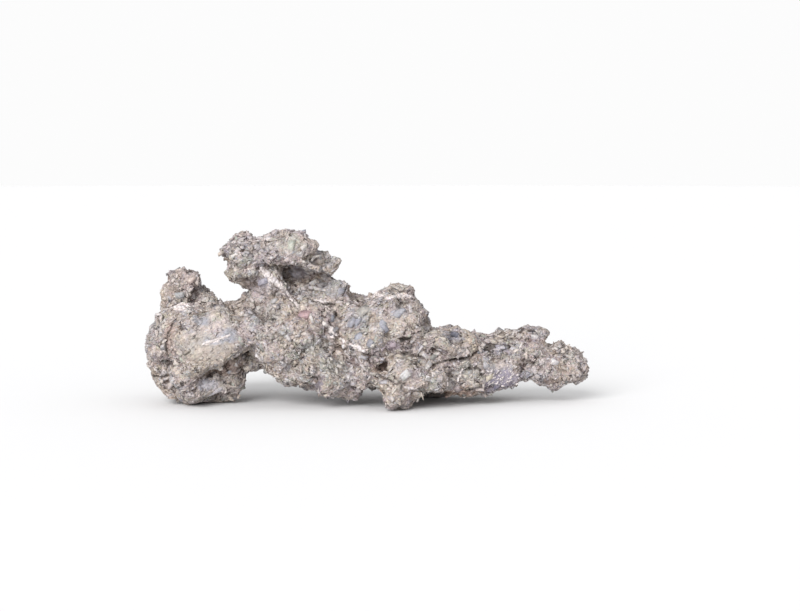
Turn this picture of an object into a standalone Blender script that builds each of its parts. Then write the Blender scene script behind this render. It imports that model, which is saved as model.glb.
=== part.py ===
"""Ibigawa stone: one long, cavernous river stone of cemented rock fragments, standing on three feet.

Its west end is a boulder on a foot, with a knob on top. A neck over an arch joins that to the heart of
the stone, a head leans out over a hollow above the heart, and east of a dome the stone thins into a
long tail. It is a single natural solid, so it is a single object.

Metres, +Z up, front towards -Y, origin below the middle of the stone on the surface that it stands on.
"""

import math

import bmesh
import bpy
from mathutils import Euler, Matrix, Vector, noise

# Driving dimensions: the stone's box.
LENGTH = 0.444
DEPTH = 0.168
HEIGHT = 0.176

# How fine the solid is.
LUMP_SUBDIVISIONS = 4
VOXEL = 0.0027
FACES = 9600

# Broad swells and dents in depth.
BULGE_PITCH, BULGE = 0.055, 0.018

# The crust: angular blocks and the smaller fragments between them, each a dome with a broken face that
# leans its own way, and thin ledges that dip to the east.
BLOCK_PITCH, BLOCK_DOME, BLOCK_SLOPE = 0.034, 0.0060, 0.34
CLAST_PITCH, CLAST_DOME, CLAST_SLOPE = 0.0135, 0.0042, 0.36
MEAN_DOME = 0.65
CELL_SPREAD = 31.0
LEDGE_PITCH, LEDGE_RISE, LEDGE_DIP = 0.017, 0.0030, math.radians(14)
LEDGE_WARP_PITCH, LEDGE_WARP = 0.045, 0.010
LEDGE_PATCH_PITCH = 0.030
WOBBLE_PITCH, WOBBLE = 0.020, 0.004
CRUST_SEED = Vector((3.1, 7.7, 1.3))

# The feet are ground flat where they stand, this far up into the stone.
SOLE_DEPTH = 0.0036

# The masses that the stone is grown from: centre, half sizes, and turn about X, Y and Z in degrees.
MASSES = {
    "west_boulder": ((-0.170, -0.002, 0.062), (0.050, 0.058, 0.037), (0, 0, 0)),
    "west_face": ((-0.163, -0.034, 0.062), (0.040, 0.034, 0.036), (0, -14, 0)),
    "west_flank": ((-0.2065, -0.002, 0.056), (0.017, 0.036, 0.027), (0, 0, 0)),
    "west_foot": ((-0.169, 0.000, 0.017), (0.045, 0.052, 0.026), (0, 0, 0)),
    "west_toe": ((-0.142, -0.002, 0.016), (0.017, 0.028, 0.020), (0, 0, 0)),
    "west_back": ((-0.166, 0.040, 0.052), (0.036, 0.030, 0.030), (0, 10, 0)),
    "west_knob": ((-0.188, 0.000, 0.111), (0.020, 0.025, 0.022), (0, 0, 0)),
    "west_knob_left": ((-0.195, -0.004, 0.126), (0.013, 0.015, 0.010), (0, 0, 0)),
    "west_knob_right": ((-0.181, 0.002, 0.122), (0.012, 0.015, 0.010), (0, 0, 0)),
    "west_knob_side": ((-0.202, 0.000, 0.105), (0.011, 0.016, 0.011), (0, 0, 0)),
    "west_knob_shoulder": ((-0.161, 0.000, 0.101), (0.013, 0.018, 0.009), (0, 20, 0)),
    "neck": ((-0.120, 0.000, 0.070), (0.038, 0.046, 0.034), (0, 0, 0)),
    "arch_roof": ((-0.122, 0.002, 0.044), (0.022, 0.034, 0.012), (0, 0, 0)),
    "heart": ((-0.062, 0.000, 0.062), (0.062, 0.060, 0.050), (0, 8, 0)),
    "heart_low": ((-0.040, -0.010, 0.031), (0.048, 0.056, 0.027), (0, 8, 0)),
    "heart_back": ((-0.050, 0.042, 0.060), (0.060, 0.034, 0.044), (0, 0, 0)),
    "under_arch": ((-0.085, -0.004, 0.029), (0.024, 0.036, 0.016), (0, 24, 0)),
    "small_foot": ((-0.031, -0.026, 0.0185), (0.028, 0.028, 0.012), (0, 0, 0)),
    "small_foot_west": ((-0.052, -0.020, 0.012), (0.007, 0.010, 0.008), (0, 0, 0)),
    "head": ((-0.094, -0.012, 0.144), (0.045, 0.040, 0.024), (0, 0, 0)),
    "head_crown": ((-0.081, -0.006, 0.157), (0.024, 0.030, 0.017), (0, 4, 0)),
    "head_shoulder": ((-0.059, -0.008, 0.149), (0.012, 0.026, 0.010), (0, 0, 0)),
    "head_west": ((-0.125, -0.010, 0.156), (0.014, 0.027, 0.016), (0, 0, 0)),
    "head_jaw": ((-0.1165, -0.006, 0.131), (0.018, 0.030, 0.019), (0, 30, 0)),
    "head_east": ((-0.054, -0.014, 0.132), (0.020, 0.032, 0.009), (0, 8, 0)),
    "head_beak": ((-0.0435, -0.020, 0.1315), (0.012, 0.018, 0.010), (0, 0, 0)),
    "head_horn": ((-0.0285, -0.018, 0.141), (0.003, 0.0045, 0.006), (0, 15, 0)),
    "nape": ((-0.088, 0.026, 0.124), (0.034, 0.026, 0.032), (14, 0, 0)),
    "west_spike": ((-0.139, -0.014, 0.151), (0.0065, 0.007, 0.003), (0, -20, 0)),
    "throat": ((-0.075, 0.004, 0.110), (0.043, 0.036, 0.022), (0, 0, 0)),
    "shoulder": ((-0.0305, -0.008, 0.109), (0.015, 0.030, 0.014), (0, 0, 0)),
    "saddle": ((-0.003, -0.002, 0.073), (0.040, 0.050, 0.027), (0, 0, 0)),
    "middle": ((-0.002, -0.014, 0.056), (0.034, 0.050, 0.028), (0, 0, 0)),
    "dome": ((0.031, -0.010, 0.075), (0.037, 0.044, 0.036), (0, 0, 0)),
    "dome_knob": ((0.033, -0.002, 0.107), (0.013, 0.014, 0.009), (0, 8, 0)),
    "dome_knob_west": ((0.008, -0.004, 0.100), (0.009, 0.012, 0.007), (0, 0, 0)),
    "dome_east": ((0.058, -0.002, 0.080), (0.010, 0.022, 0.017), (0, 0, 0)),
    "dome_back": ((0.014, 0.034, 0.064), (0.046, 0.032, 0.032), (0, 0, 0)),
    "belly": ((0.026, -0.012, 0.029), (0.050, 0.062, 0.027), (0, 0, 0)),
    "belly_east": ((0.064, -0.020, 0.016), (0.032, 0.034, 0.011), (0, 0, 0)),
    "front_foot": ((0.033, -0.058, 0.0062), (0.0185, 0.020, 0.015), (0, 0, 0)),
    "front_heel": ((0.050, -0.052, 0.018), (0.018, 0.020, 0.010), (0, -14, 0)),
    "back_foot": ((0.068, 0.042, 0.012), (0.028, 0.024, 0.021), (0, 0, 0)),
    "tail_root": ((0.082, 0.002, 0.037), (0.042, 0.052, 0.030), (0, 0, 0)),
    "tail_root_crest": ((0.086, -0.002, 0.063), (0.010, 0.013, 0.007), (0, -12, 0)),
    "tail_ledge": ((0.076, -0.014, 0.053), (0.046, 0.050, 0.012), (0, 3, 0)),
    "tail_shelf": ((0.122, -0.014, 0.052), (0.026, 0.028, 0.006), (0, 0, 0)),
    "tail": ((0.130, 0.002, 0.032), (0.042, 0.040, 0.025), (0, 0, 0)),
    "tail_top": ((0.106, 0.000, 0.052), (0.030, 0.036, 0.010), (0, 0, 0)),
    "tail_belly": ((0.113, -0.010, 0.018), (0.052, 0.038, 0.014), (0, -3, 0)),
    "tail_end": ((0.188, 0.010, 0.030), (0.031, 0.032, 0.022), (0, 16, 0)),
    "tail_tip": ((0.219, 0.008, 0.026), (0.012, 0.020, 0.015), (0, 0, 0)),
    "tail_knob_west": ((0.155, 0.002, 0.065), (0.012, 0.014, 0.006), (0, 0, 0)),
    "tail_knob_east": ((0.183, 0.002, 0.064), (0.012, 0.014, 0.012), (0, 0, 0)),
    "tail_tooth": ((0.193, 0.006, 0.015), (0.009, 0.010, 0.010), (0, 0, 0)),
    "tail_bridge": ((0.160, 0.000, 0.050), (0.026, 0.026, 0.016), (0, 0, 0)),
}

# The hollows that the water has eaten out of it, in the same form.
HOLLOWS = {
    "under_the_head": ((-0.067, -0.058, 0.127), (0.042, 0.050, 0.013), (0, 5, 0)),
    "under_the_boulder": ((-0.140, -0.062, 0.036), (0.035, 0.044, 0.015), (0, -30, 0)),
    "arch": ((-0.109, 0.000, 0.005), (0.012, 0.130, 0.025), (0, 0, 0)),
    "between_the_feet": ((0.008, -0.060, 0.010), (0.012, 0.060, 0.013), (0, 0, 0)),
    "along_the_ledge": ((0.066, -0.070, 0.050), (0.044, 0.030, 0.006), (0, 3, 0)),
    "under_the_shelf": ((0.118, -0.052, 0.056), (0.026, 0.026, 0.006), (0, -6, 0)),
    "above_the_front_foot": ((0.018, -0.078, 0.040), (0.018, 0.034, 0.014), (0, 20, 0)),
    "dome_pit": ((0.036, -0.062, 0.064), (0.0055, 0.016, 0.0055), (0, 0, 0)),
    "tail_pit": ((0.165, -0.038, 0.033), (0.0065, 0.022, 0.0075), (0, 0, 0)),
}


def clear_scene():
    for obj in list(bpy.data.objects):
        bpy.data.objects.remove(obj)


def new_collection(name):
    collection = bpy.data.collections.new(name)
    bpy.context.scene.collection.children.link(collection)
    return collection


def ellipsoid(bm, centre, half_sizes, turn):
    """Adds one rounded mass to the mesh."""
    place = Matrix.LocRotScale(Vector(centre), Euler([math.radians(a) for a in turn]), Vector(half_sizes))
    bmesh.ops.create_icosphere(bm, subdivisions=LUMP_SUBDIVISIONS, radius=1.0, matrix=place)


def object_of(bm, name, collection):
    mesh = bpy.data.meshes.new(name)
    bm.to_mesh(mesh)
    bm.free()
    obj = bpy.data.objects.new(name, mesh)
    collection.objects.link(obj)
    return obj


def group_of(forms, name, collection):
    """One object that holds all the masses, or all the hollows."""
    bm = bmesh.new()
    for centre, half_sizes, turn in forms.values():
        ellipsoid(bm, centre, half_sizes, turn)
    return object_of(bm, name, collection)


def fuse(obj):
    """Grows the masses of an object into one skin."""
    modifier = obj.modifiers.new("fuse", "REMESH")
    modifier.mode = "VOXEL"
    modifier.voxel_size = VOXEL
    apply_modifiers(obj)


def carve(obj, hollows):
    """Takes the hollows out of the stone."""
    modifier = obj.modifiers.new("carve", "BOOLEAN")
    modifier.operation = "DIFFERENCE"
    modifier.solver = "EXACT"
    modifier.object = hollows
    apply_modifiers(obj)


def apply_modifiers(obj):
    bpy.context.view_layer.update()
    graph = bpy.context.evaluated_depsgraph_get()
    mesh = bpy.data.meshes.new_from_object(obj.evaluated_get(graph))
    obj.modifiers.clear()
    obj.data = mesh


def fragment(point, pitch, dome, slope):
    """How far out the crust stands at a point of a field of angular fragments of that size."""
    distances, centres = noise.voronoi(point / pitch)
    rounded = 1.0 - min(1.0, distances[0]) ** 2 - MEAN_DOME
    lean = noise.cell_vector(centres[0] * CELL_SPREAD) * 2.0 - Vector((1.0, 1.0, 1.0))
    broken = (point - centres[0] * pitch).dot(lean)
    return dome * rounded + slope * broken


def ledge(point):
    """Thin beds, each rising to a sharp lip, broken into patches."""
    along = point.x * math.sin(LEDGE_DIP) + point.z * math.cos(LEDGE_DIP)
    warp = noise.noise(point / LEDGE_WARP_PITCH) * LEDGE_WARP
    lip = ((along + warp) / LEDGE_PITCH % 1.0) ** 3
    patch = max(0.0, 0.6 + noise.noise(point / LEDGE_PATCH_PITCH + CRUST_SEED))
    return (lip - 0.25) * patch


def wobble(point):
    """A small smooth shift, so that no fragment has a straight border."""
    at = point / WOBBLE_PITCH
    return Vector([noise.noise(at + CRUST_SEED * turn) for turn in (1, 2, 3)]) * WOBBLE


def push_out(obj, rise_at):
    """Moves the skin along its normals by the rise at each wobbled point."""
    bm = bmesh.new()
    bm.from_mesh(obj.data)
    bm.normal_update()
    moves = []
    for vertex in bm.verts:
        moves.append(vertex.normal * rise_at(vertex.co + wobble(vertex.co)))
    for vertex, move in zip(bm.verts, moves):
        vertex.co += move
    bm.to_mesh(obj.data)
    bm.free()


def bulge(obj):
    """Swells and dents the masses in depth, so that no side of the stone is a plain curve."""
    bm = bmesh.new()
    bm.from_mesh(obj.data)
    for vertex in bm.verts:
        vertex.co.y += BULGE * noise.noise(vertex.co / BULGE_PITCH + CRUST_SEED)
    bm.to_mesh(obj.data)
    bm.free()


def blocks(at):
    return fragment(at + CRUST_SEED, BLOCK_PITCH, BLOCK_DOME, BLOCK_SLOPE)


def clasts_and_ledges(at):
    return fragment(at - CRUST_SEED, CLAST_PITCH, CLAST_DOME, CLAST_SLOPE) + LEDGE_RISE * ledge(at)


def keep_largest_piece(obj):
    """Drops any crumb that weathering has cut off, and any bubble that it has closed in."""
    bm = bmesh.new()
    bm.from_mesh(obj.data)
    pieces, seen = [], set()
    for start in bm.verts:
        if start in seen:
            continue
        piece, edge_of_piece = {start}, [start]
        while edge_of_piece:
            for edge in edge_of_piece.pop().link_edges:
                for vertex in edge.verts:
                    if vertex not in piece:
                        piece.add(vertex)
                        edge_of_piece.append(vertex)
        seen |= piece
        pieces.append(piece)
    largest = max(pieces, key=len)
    bmesh.ops.delete(bm, geom=[v for v in bm.verts if v not in largest], context="VERTS")
    bm.to_mesh(obj.data)
    bm.free()


def thin_out(obj, faces):
    """Leaves about that many triangles."""
    bm = bmesh.new()
    bm.from_mesh(obj.data)
    bmesh.ops.triangulate(bm, faces=bm.faces)
    now = len(bm.faces)
    bm.to_mesh(obj.data)
    bm.free()
    modifier = obj.modifiers.new("thin", "DECIMATE")
    modifier.ratio = min(1.0, faces / now)
    apply_modifiers(obj)


def fit_to_box(obj):
    """Scales the stone to its driving dimensions and stands it on the origin."""
    corners = [Vector(corner) for corner in obj.bound_box]
    low = Vector(map(min, *corners))
    high = Vector(map(max, *corners))
    middle = Vector(((low.x + high.x) / 2, (low.y + high.y) / 2, low.z))
    factors = [wanted / now for wanted, now in zip((LENGTH, DEPTH, HEIGHT), high - low)]
    obj.data.transform(Matrix.Diagonal((*factors, 1.0)) @ Matrix.Translation(-middle))


def grind_soles(obj):
    """Gives the feet flat soles in one plane, which becomes the surface that the stone stands on."""
    bm = bmesh.new()
    bm.from_mesh(obj.data)
    everything = bm.verts[:] + bm.edges[:] + bm.faces[:]
    cut = bmesh.ops.bisect_plane(
        bm, geom=everything, dist=1e-6, plane_co=(0, 0, SOLE_DEPTH), plane_no=(0, 0, 1), clear_inner=True
    )
    rim = [item for item in cut["geom_cut"] if isinstance(item, bmesh.types.BMEdge)]
    bmesh.ops.edgeloop_fill(bm, edges=rim)
    bmesh.ops.triangulate(bm, faces=bm.faces)
    bm.normal_update()
    bm.to_mesh(obj.data)
    bm.free()


def stone_material():
    material = bpy.data.materials.new("ibigawa_stone")
    material.use_nodes = True
    shader = material.node_tree.nodes["Principled BSDF"]
    shader.inputs["Base Color"].default_value = (0.38, 0.34, 0.32, 1.0)
    shader.inputs["Roughness"].default_value = 0.85
    shader.inputs["Metallic"].default_value = 0.0
    return material


def main():
    clear_scene()
    stones = new_collection("ibigawa_rock")
    cutters = new_collection("hollows")
    stone = group_of(MASSES, "ibigawa_rock", stones)
    hollows = group_of(HOLLOWS, "hollows", cutters)
    hollows.hide_render = True
    hollows.display_type = "WIRE"
    for obj in (stone, hollows):
        fuse(obj)
        bulge(obj)
        push_out(obj, blocks)
        fuse(obj)
    carve(stone, hollows)
    fuse(stone)
    push_out(stone, clasts_and_ledges)
    fuse(stone)
    keep_largest_piece(stone)
    thin_out(stone, FACES)
    fit_to_box(stone)
    grind_soles(stone)
    fit_to_box(stone)
    stone.data.materials.append(stone_material())


main()
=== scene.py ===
from contextlib import contextmanager
import math
import random

import bmesh
import bpy
import numpy as np
from mathutils import Matrix, Vector, noise
from mathutils.bvhtree import BVHTree
from mathutils.kdtree import KDTree


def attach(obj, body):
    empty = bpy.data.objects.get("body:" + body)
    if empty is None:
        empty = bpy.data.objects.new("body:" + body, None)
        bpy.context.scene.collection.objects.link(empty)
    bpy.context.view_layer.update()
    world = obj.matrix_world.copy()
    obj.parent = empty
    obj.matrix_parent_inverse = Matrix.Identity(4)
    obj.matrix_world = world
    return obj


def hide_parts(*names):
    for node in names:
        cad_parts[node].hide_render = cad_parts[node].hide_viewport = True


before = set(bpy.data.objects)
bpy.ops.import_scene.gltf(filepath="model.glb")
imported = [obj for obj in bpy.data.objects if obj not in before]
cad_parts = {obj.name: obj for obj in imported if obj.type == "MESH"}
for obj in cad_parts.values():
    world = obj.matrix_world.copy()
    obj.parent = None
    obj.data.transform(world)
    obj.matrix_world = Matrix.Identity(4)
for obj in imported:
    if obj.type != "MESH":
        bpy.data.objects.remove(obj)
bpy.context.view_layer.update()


# ---------------------------------------------------------------------------------------------------------
# The stone's body. Rock fragments of every size lie in a hard limy cement, and the whole lump formed as one
# piece in a river bed. Running water then ate the softer cement, so that the fragments stand out of it and
# pits and crevices are left between them.
# ---------------------------------------------------------------------------------------------------------

# The mesh sizes that the skin is made even to, one after the other, and how many triangles it ends with.
COARSE_VOXEL = 0.002
MIDDLE_VOXEL = 0.0016
FINE_VOXEL = 0.001
BODY_FACES = 190000

# Fragments that stand in the skin: their pitch, how round they are, how far their broken faces lean, and
# how deep the seams round them are. Then what sets one lean apart from the next, how wide the seams are for
# the pitch, and the mean height of a dome.
COBBLES = {"pitch": 0.012, "dome": 0.0001, "slope": 0.16, "seam": 0.0006}
PEBBLES = {"pitch": 0.004, "dome": 0.0, "slope": 0.16, "seam": 0.0005}
CELL_SPREAD = 31.0
SEAM_SHARE = 0.14
MEAN_DOME = 0.65

# Thin beds whose lower lips overhang: how they dip to the east in degrees, their pitch, how far the lips
# stand out, and how much of the stone they cover. Then how crooked they are, how the places that have them
# are laid and how sharply those end, and by what power a bed falls back behind its lip.
BEDS = (
    {"dip": 8.0, "pitch": 0.011, "rise": 0.002, "cover": 0.45, "seed": 1.0},
    {"dip": 40.0, "pitch": 0.0085, "rise": 0.0014, "cover": 0.4, "seed": 2.0},
    {"dip": -38.0, "pitch": 0.008, "rise": 0.0014, "cover": 0.4, "seed": 3.0},
)
BED_WARP_PITCH, BED_WARP = 0.03, 0.008
BED_PATCH_PITCH, BED_PATCH_LEVEL, BED_PATCH_EDGE = 0.026, 0.25, 2.5
BED_FALL, BED_MIDDLE = 1.5, 0.35

# The skin's patterns are bent by that much, so that nothing in them is straight.
WARP_PITCH = 0.009
WARP = 0.0022
SKIN_SEED = Vector((5.3, 1.9, 8.4))
UNIT = Vector((1.0, 1.0, 1.0))

# Blocks of older rock that stand in the skin: how many, how far across they are at least and at most, the
# power that makes large ones rare, and how far they stand out at least and at most. Then how many shapes
# they share, how long, wide and thick they are, how flush with the skin, how much of them is sunk, and how
# near to a block a point of the skin has its mineral.
BLOCKS = (
    {"count": 300, "least": 0.008, "most": 0.017, "rarity": 1.6, "stand": (0.0002, 0.0015)},
    {"count": 2200, "least": 0.004, "most": 0.0085, "rarity": 2.0, "stand": (0.0001, 0.0011)},
)
BLOCK_SHAPES = 14
BLOCK_SPREADS, BLOCK_FLUSH, BLOCK_SINK = ((0.9, 1.4), (0.65, 1.0), (0.3, 0.55)), (0.75, 1.0), 0.82
BLOCK_REACH = 0.0007

# The dip of the beds in degrees: its mean, how it drifts across the stone, how it varies from one chip to
# the next, and how much a chip rolls to the front or the back.
BED_DRIFT_PITCH = 0.045
BED_DIP, BED_DIP_DRIFT, BED_DIP_SPREAD, BED_ROLL = 12.0, 110.0, 14.0, 0.25

# How far the skin is drawn in, so that the blocks stand out of it.
SKIN_UNDER_BLOCKS = 0.0011

# Flat broken faces: about how far across they are, how much they lean at random, and how flat they are. No
# point moves by more than that share of a face, and the spread gives each face a lean of its own.
MIDDLE_FACES = {"pitch": 0.0085, "lean": 0.22, "flatness": 0.6}
SMALL_FACES = {"pitch": 0.0042, "lean": 0.34, "flatness": 0.85}
MOST_FLATTENED = 0.12
KEY_SPREAD = 0.0371

# How the fragments lie: places on the front as x and z, and how their length leans there in degrees. The
# lean holds within the reach, and each fragment leans a little its own way.
GRAIN = (
    (-0.2, 0.06, 70.0), (-0.185, 0.12, 40.0), (-0.15, 0.08, 22.0), (-0.15, 0.035, 30.0),
    (-0.16, 0.01, 12.0), (-0.11, 0.165, 55.0), (-0.07, 0.165, 48.0), (-0.04, 0.145, 20.0),
    (-0.105, 0.115, -42.0), (-0.06, 0.09, -45.0), (-0.07, 0.05, -30.0), (-0.02, 0.085, 48.0),
    (-0.02, 0.05, -35.0), (0.0, 0.11, 25.0), (0.03, 0.09, 60.0), (0.03, 0.055, -12.0),
    (0.02, 0.02, 15.0), (0.07, 0.06, 8.0), (0.08, 0.03, 15.0), (0.115, 0.065, 12.0),
    (0.12, 0.035, 38.0), (0.165, 0.065, -18.0), (0.17, 0.035, -30.0), (0.21, 0.045, -35.0),
)
GRAIN_REACH = 0.018
GRAIN_SPREAD = 0.42

# The furthest that a splinter stands out from the skin round it, and how much of the rest is drawn back.
MOST_OUT, DRAWN_BACK = 0.002, 0.85

# Each splinter is a block with its corners moved and then cut off: how far, how often and how deep.
CORNER_SHIFT, CORNER_CUTS, CUT_DEPTHS = 0.16, 3, (0.36, 0.5)

# The soles that the stone stands on stay as flat as they are, up to this height.
SOLE_HEIGHT = 0.003

# Forms that stand out of the skin: centre, half sizes, and turn about Y in degrees. Their shape lies between
# an egg, at an edge of 2, and a block, at a high one, and the slab's edges are the sharpest.
SWELL_EDGE, SLAB_EDGE = 3.2, 5.0
SWELL_ROUGH_PITCH, SWELL_ROUGH = 0.01, 0.1
SWELLS = {
    "boulder_slab": ((-0.1595, -0.034, 0.064), (0.0365, 0.03, 0.0262), -29.0),
    "recess_fill": ((-0.14, -0.022, 0.042), (0.018, 0.017, 0.011), -32.0),
    "arch_roof": ((-0.116, -0.012, 0.0395), (0.01, 0.014, 0.006), -10.0),
    "boulder_chin": ((-0.181, -0.038, 0.033), (0.014, 0.026, 0.0135), 0.0),
    "beak": ((-0.038, -0.019, 0.135), (0.008, 0.011, 0.0062), 8.0),
    "tilted_block": ((0.0, -0.036, 0.087), (0.024, 0.014, 0.01), -38.0),
    "beak_horn": ((-0.03, -0.018, 0.142), (0.0026, 0.006, 0.0065), 25.0),
    "tail_knob": ((0.1635, -0.001, 0.07), (0.0175, 0.012, 0.0066), 2.0),
    "vein_slope": ((-0.096, -0.025, 0.127), (0.019, 0.014, 0.008), 46.0),
    "shoulder_bump": ((-0.03, -0.024, 0.1175), (0.0085, 0.01, 0.0075), 0.0),
    "dome_block": ((0.0355, -0.004, 0.1125), (0.0095, 0.012, 0.006), 0.0),
    "body_fill": ((-0.027, -0.038, 0.079), (0.016, 0.011, 0.011), 0.0),
    "recess_brow": ((0.0095, -0.0535, 0.052), (0.011, 0.008, 0.007), 0.0),
    "foot_shelf": ((0.058, -0.052, 0.028), (0.022, 0.016, 0.01), 8.0),
    "knob_top": ((-0.181, -0.01, 0.123), (0.016, 0.012, 0.0085), 0.0),
    "neck_front": ((-0.105, -0.016, 0.112), (0.0145, 0.016, 0.018), 0.0),
    "jaw_root": ((-0.101, -0.023, 0.129), (0.017, 0.015, 0.012), 40.0),
    "ledge_lobe": ((0.095, -0.033, 0.063), (0.014, 0.016, 0.012), 0.0),
    "ledge_root": ((0.064, -0.046, 0.052), (0.012, 0.01, 0.006), 0.0),
    "heart_brow": ((0.004, -0.05, 0.057), (0.014, 0.012, 0.008), 15.0),
    "flank_fill": ((-0.205, -0.036, 0.062), (0.013, 0.016, 0.016), 0.0),
}

# Small shifts of whole parts of the stone, seen from the front: where, how far they reach, and the shift,
# all in x and z.
SHIFTS = {
    "jaw_west": ((-0.134, 0.117), 0.012, (0.0025, 0.0)),
    "neck_top": ((-0.132, 0.104), 0.012, (0.0, -0.0045)),
    "boulder_top_west": ((-0.216, 0.087), 0.018, (0.003, -0.0005)),
    "flank": ((-0.222, 0.047), 0.016, (0.0005, 0.0)),
    "foot_west": ((-0.211, 0.014), 0.02, (0.0035, 0.0005)),
    "knob_west": ((-0.202, 0.121), 0.012, (0.0022, 0.0)),
    "knob_east": ((-0.156, 0.115), 0.012, (-0.0025, -0.001)),
    "dome_knob": ((0.032, 0.118), 0.014, (0.0, -0.0045)),
    "saddle_west": ((-0.009, 0.112), 0.014, (0.0, -0.003)),
    "arch_east": ((-0.099, 0.022), 0.016, (0.005, 0.003)),
    "heart_foot": ((-0.067, 0.012), 0.016, (0.0, 0.003)),
    "small_foot_west": ((-0.049, 0.008), 0.01, (-0.005, -0.003)),
    "feet_gap": ((0.01, 0.01), 0.01, (0.0, 0.004)),
    "front_foot_west": ((0.019, 0.0), 0.01, (0.003, 0.0)),
    "tail_foot": ((0.156, 0.014), 0.014, (0.0, 0.0055)),
    "tail_belly": ((0.127, 0.013), 0.013, (0.0, -0.005)),
    "tail_tooth": ((0.176, 0.014), 0.01, (0.0, 0.003)),
    "tail_end": ((0.222, 0.04), 0.016, (-0.0005, 0.0)),
    "tail_crest": ((0.089, 0.077), 0.01, (0.0, 0.003)),
    "tail_saddle": ((0.136, 0.073), 0.013, (0.0, -0.0045)),
    "tail_knob": ((0.176, 0.08), 0.008, (-0.0015, -0.005)),
    "beak_foot": ((-0.03, 0.134), 0.007, (0.0, 0.003)),
    "beak_notch": ((-0.033, 0.1275), 0.006, (-0.005, 0.0)),
    "tail_shoulder": ((0.193, 0.064), 0.01, (0.001, 0.0055)),
    "head_top_west": ((-0.122, 0.173), 0.014, (-0.001, 0.0)),
    "head_top": ((-0.082, 0.179), 0.012, (0.0, 0.0015)),
    "head_east": ((-0.045, 0.158), 0.012, (0.0025, 0.0)),
    "front_foot_east": ((0.048, 0.004), 0.012, (-0.004, 0.004)),
    "crest_west": ((0.008, 0.116), 0.01, (0.0, 0.0015)),
}

# Faces that water has worn smooth: centre, half sizes, and how smooth. Their edges are soft for that share
# of their size, and wear takes that much of the fragments, the broken faces and the blocks away.
WORN_EDGE = 0.45
WEAR_ON_SKIN, WEAR_ON_BREAKS, WEAR_ON_BLOCKS = 0.95, 0.9, 0.9
WORN_FACES = {
    "boulder_face": ((-0.155, -0.06, 0.071), (0.037, 0.05, 0.031), 0.68),
    "boulder_east": ((-0.128, -0.045, 0.078), (0.02, 0.03, 0.018), 0.45),
    "neck_front": ((-0.1, -0.03, 0.11), (0.022, 0.026, 0.02), 0.45),
    "head_front": ((-0.075, -0.045, 0.16), (0.022, 0.02, 0.014), 0.35),
    "front_foot": ((0.038, -0.08, 0.036), (0.016, 0.016, 0.012), 0.5),
    "boulder_foot": ((-0.15, -0.05, 0.018), (0.022, 0.03, 0.012), 0.6),
    "head_hollow": ((-0.068, -0.01, 0.132), (0.016, 0.03, 0.012), 0.7),
    "dome_front": ((0.022, -0.055, 0.088), (0.022, 0.02, 0.018), 0.5),
    "tail_face": ((0.13, -0.034, 0.032), (0.022, 0.024, 0.018), 0.7),
}

# Crevices under overhanging lips on the front: points along each lip as x, z, how deep the crevice is
# there, and how far down it reaches.
CREVICES = {
    "boulder_lip": (
        (-0.1935, 0.025, 0.0023, 0.0037), (-0.1855, 0.019, 0.0045, 0.0045), (-0.1735, 0.018, 0.0045, 0.0053),
        (-0.1655, 0.024, 0.004, 0.0055), (-0.1575, 0.032, 0.0045, 0.006), (-0.1495, 0.038, 0.004, 0.006),
        (-0.1395, 0.045, 0.003, 0.005), (-0.1295, 0.052, 0.0022, 0.0045), (-0.1215, 0.055, 0.001, 0.0035),
    ),
    "flank_foot": (
        (-0.222, 0.031, 0.0023, 0.0035), (-0.212, 0.03, 0.0037, 0.0045), (-0.2, 0.031, 0.0023, 0.0035),
    ),
    "flank_side": (
        (-0.19, 0.042, 0.0015, 0.0037), (-0.197, 0.058, 0.003, 0.005), (-0.197, 0.07, 0.0032, 0.0055),
        (-0.189, 0.088, 0.0015, 0.0037),
    ),
    "shoulder_foot": (
        (-0.052, 0.105, 0.0015, 0.0035), (-0.04, 0.103, 0.0037, 0.0037), (-0.026, 0.101, 0.0023, 0.0035),
    ),
    "dome_pit": ((0.031, 0.0705, 0.005, 0.004), (0.0375, 0.0702, 0.0055, 0.0042)),
    "dome_foot": (
        (0.02, 0.058, 0.0015, 0.0035), (0.033, 0.056, 0.0037, 0.0037), (0.05, 0.0535, 0.0045, 0.0045),
        (0.058, 0.049, 0.0023, 0.0035),
    ),
    "ledge_west": (
        (0.052, 0.041, 0.0015, 0.0035), (0.062, 0.045, 0.0025, 0.004), (0.08, 0.05, 0.003, 0.0037),
    ),
    "ledge_lip": (
        (0.078, 0.049, 0.004, 0.0045), (0.088, 0.0505, 0.0055, 0.005), (0.1, 0.053, 0.005, 0.0045),
        (0.112, 0.0585, 0.004, 0.004), (0.124, 0.0595, 0.005, 0.004), (0.138, 0.061, 0.002, 0.0035),
    ),
    "tail_upper": (
        (0.106, 0.0665, 0.0015, 0.0035), (0.116, 0.0675, 0.003, 0.0035), (0.126, 0.0665, 0.0015, 0.0035),
    ),
    "tail_line": (
        (0.094, 0.041, 0.0008, 0.0035), (0.102, 0.04, 0.0023, 0.0035), (0.112, 0.041, 0.0008, 0.0035),
    ),
    "heart_line": (
        (-0.02, 0.07, 0.0015, 0.0035), (-0.006, 0.058, 0.003, 0.0045), (0.01, 0.051, 0.0023, 0.0037),
    ),
    "front_foot_lip": (
        (0.004, 0.036, 0.0015, 0.0035), (0.016, 0.033, 0.0037, 0.0045), (0.034, 0.029, 0.0023, 0.0037),
    ),
}

# Over a crevice the lip stands out by that much, up to that height, and by less where the crevice is less
# deep than that. Its wall falls in by that power, it lies before that plane in skin that faces the front,
# and its line is crooked.
LIP_PROUD = 0.0012
LIP_HEIGHT = 0.004
LIP_DEPTH = 0.004
CREVICE_FALL = 1.3
CREVICE_BACK = 0.01
LEAST_FACING, FULL_FACING = 0.15, 0.4
CREVICE_WAVE_PITCH, CREVICE_WAVE = 0.006, 0.0018

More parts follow.
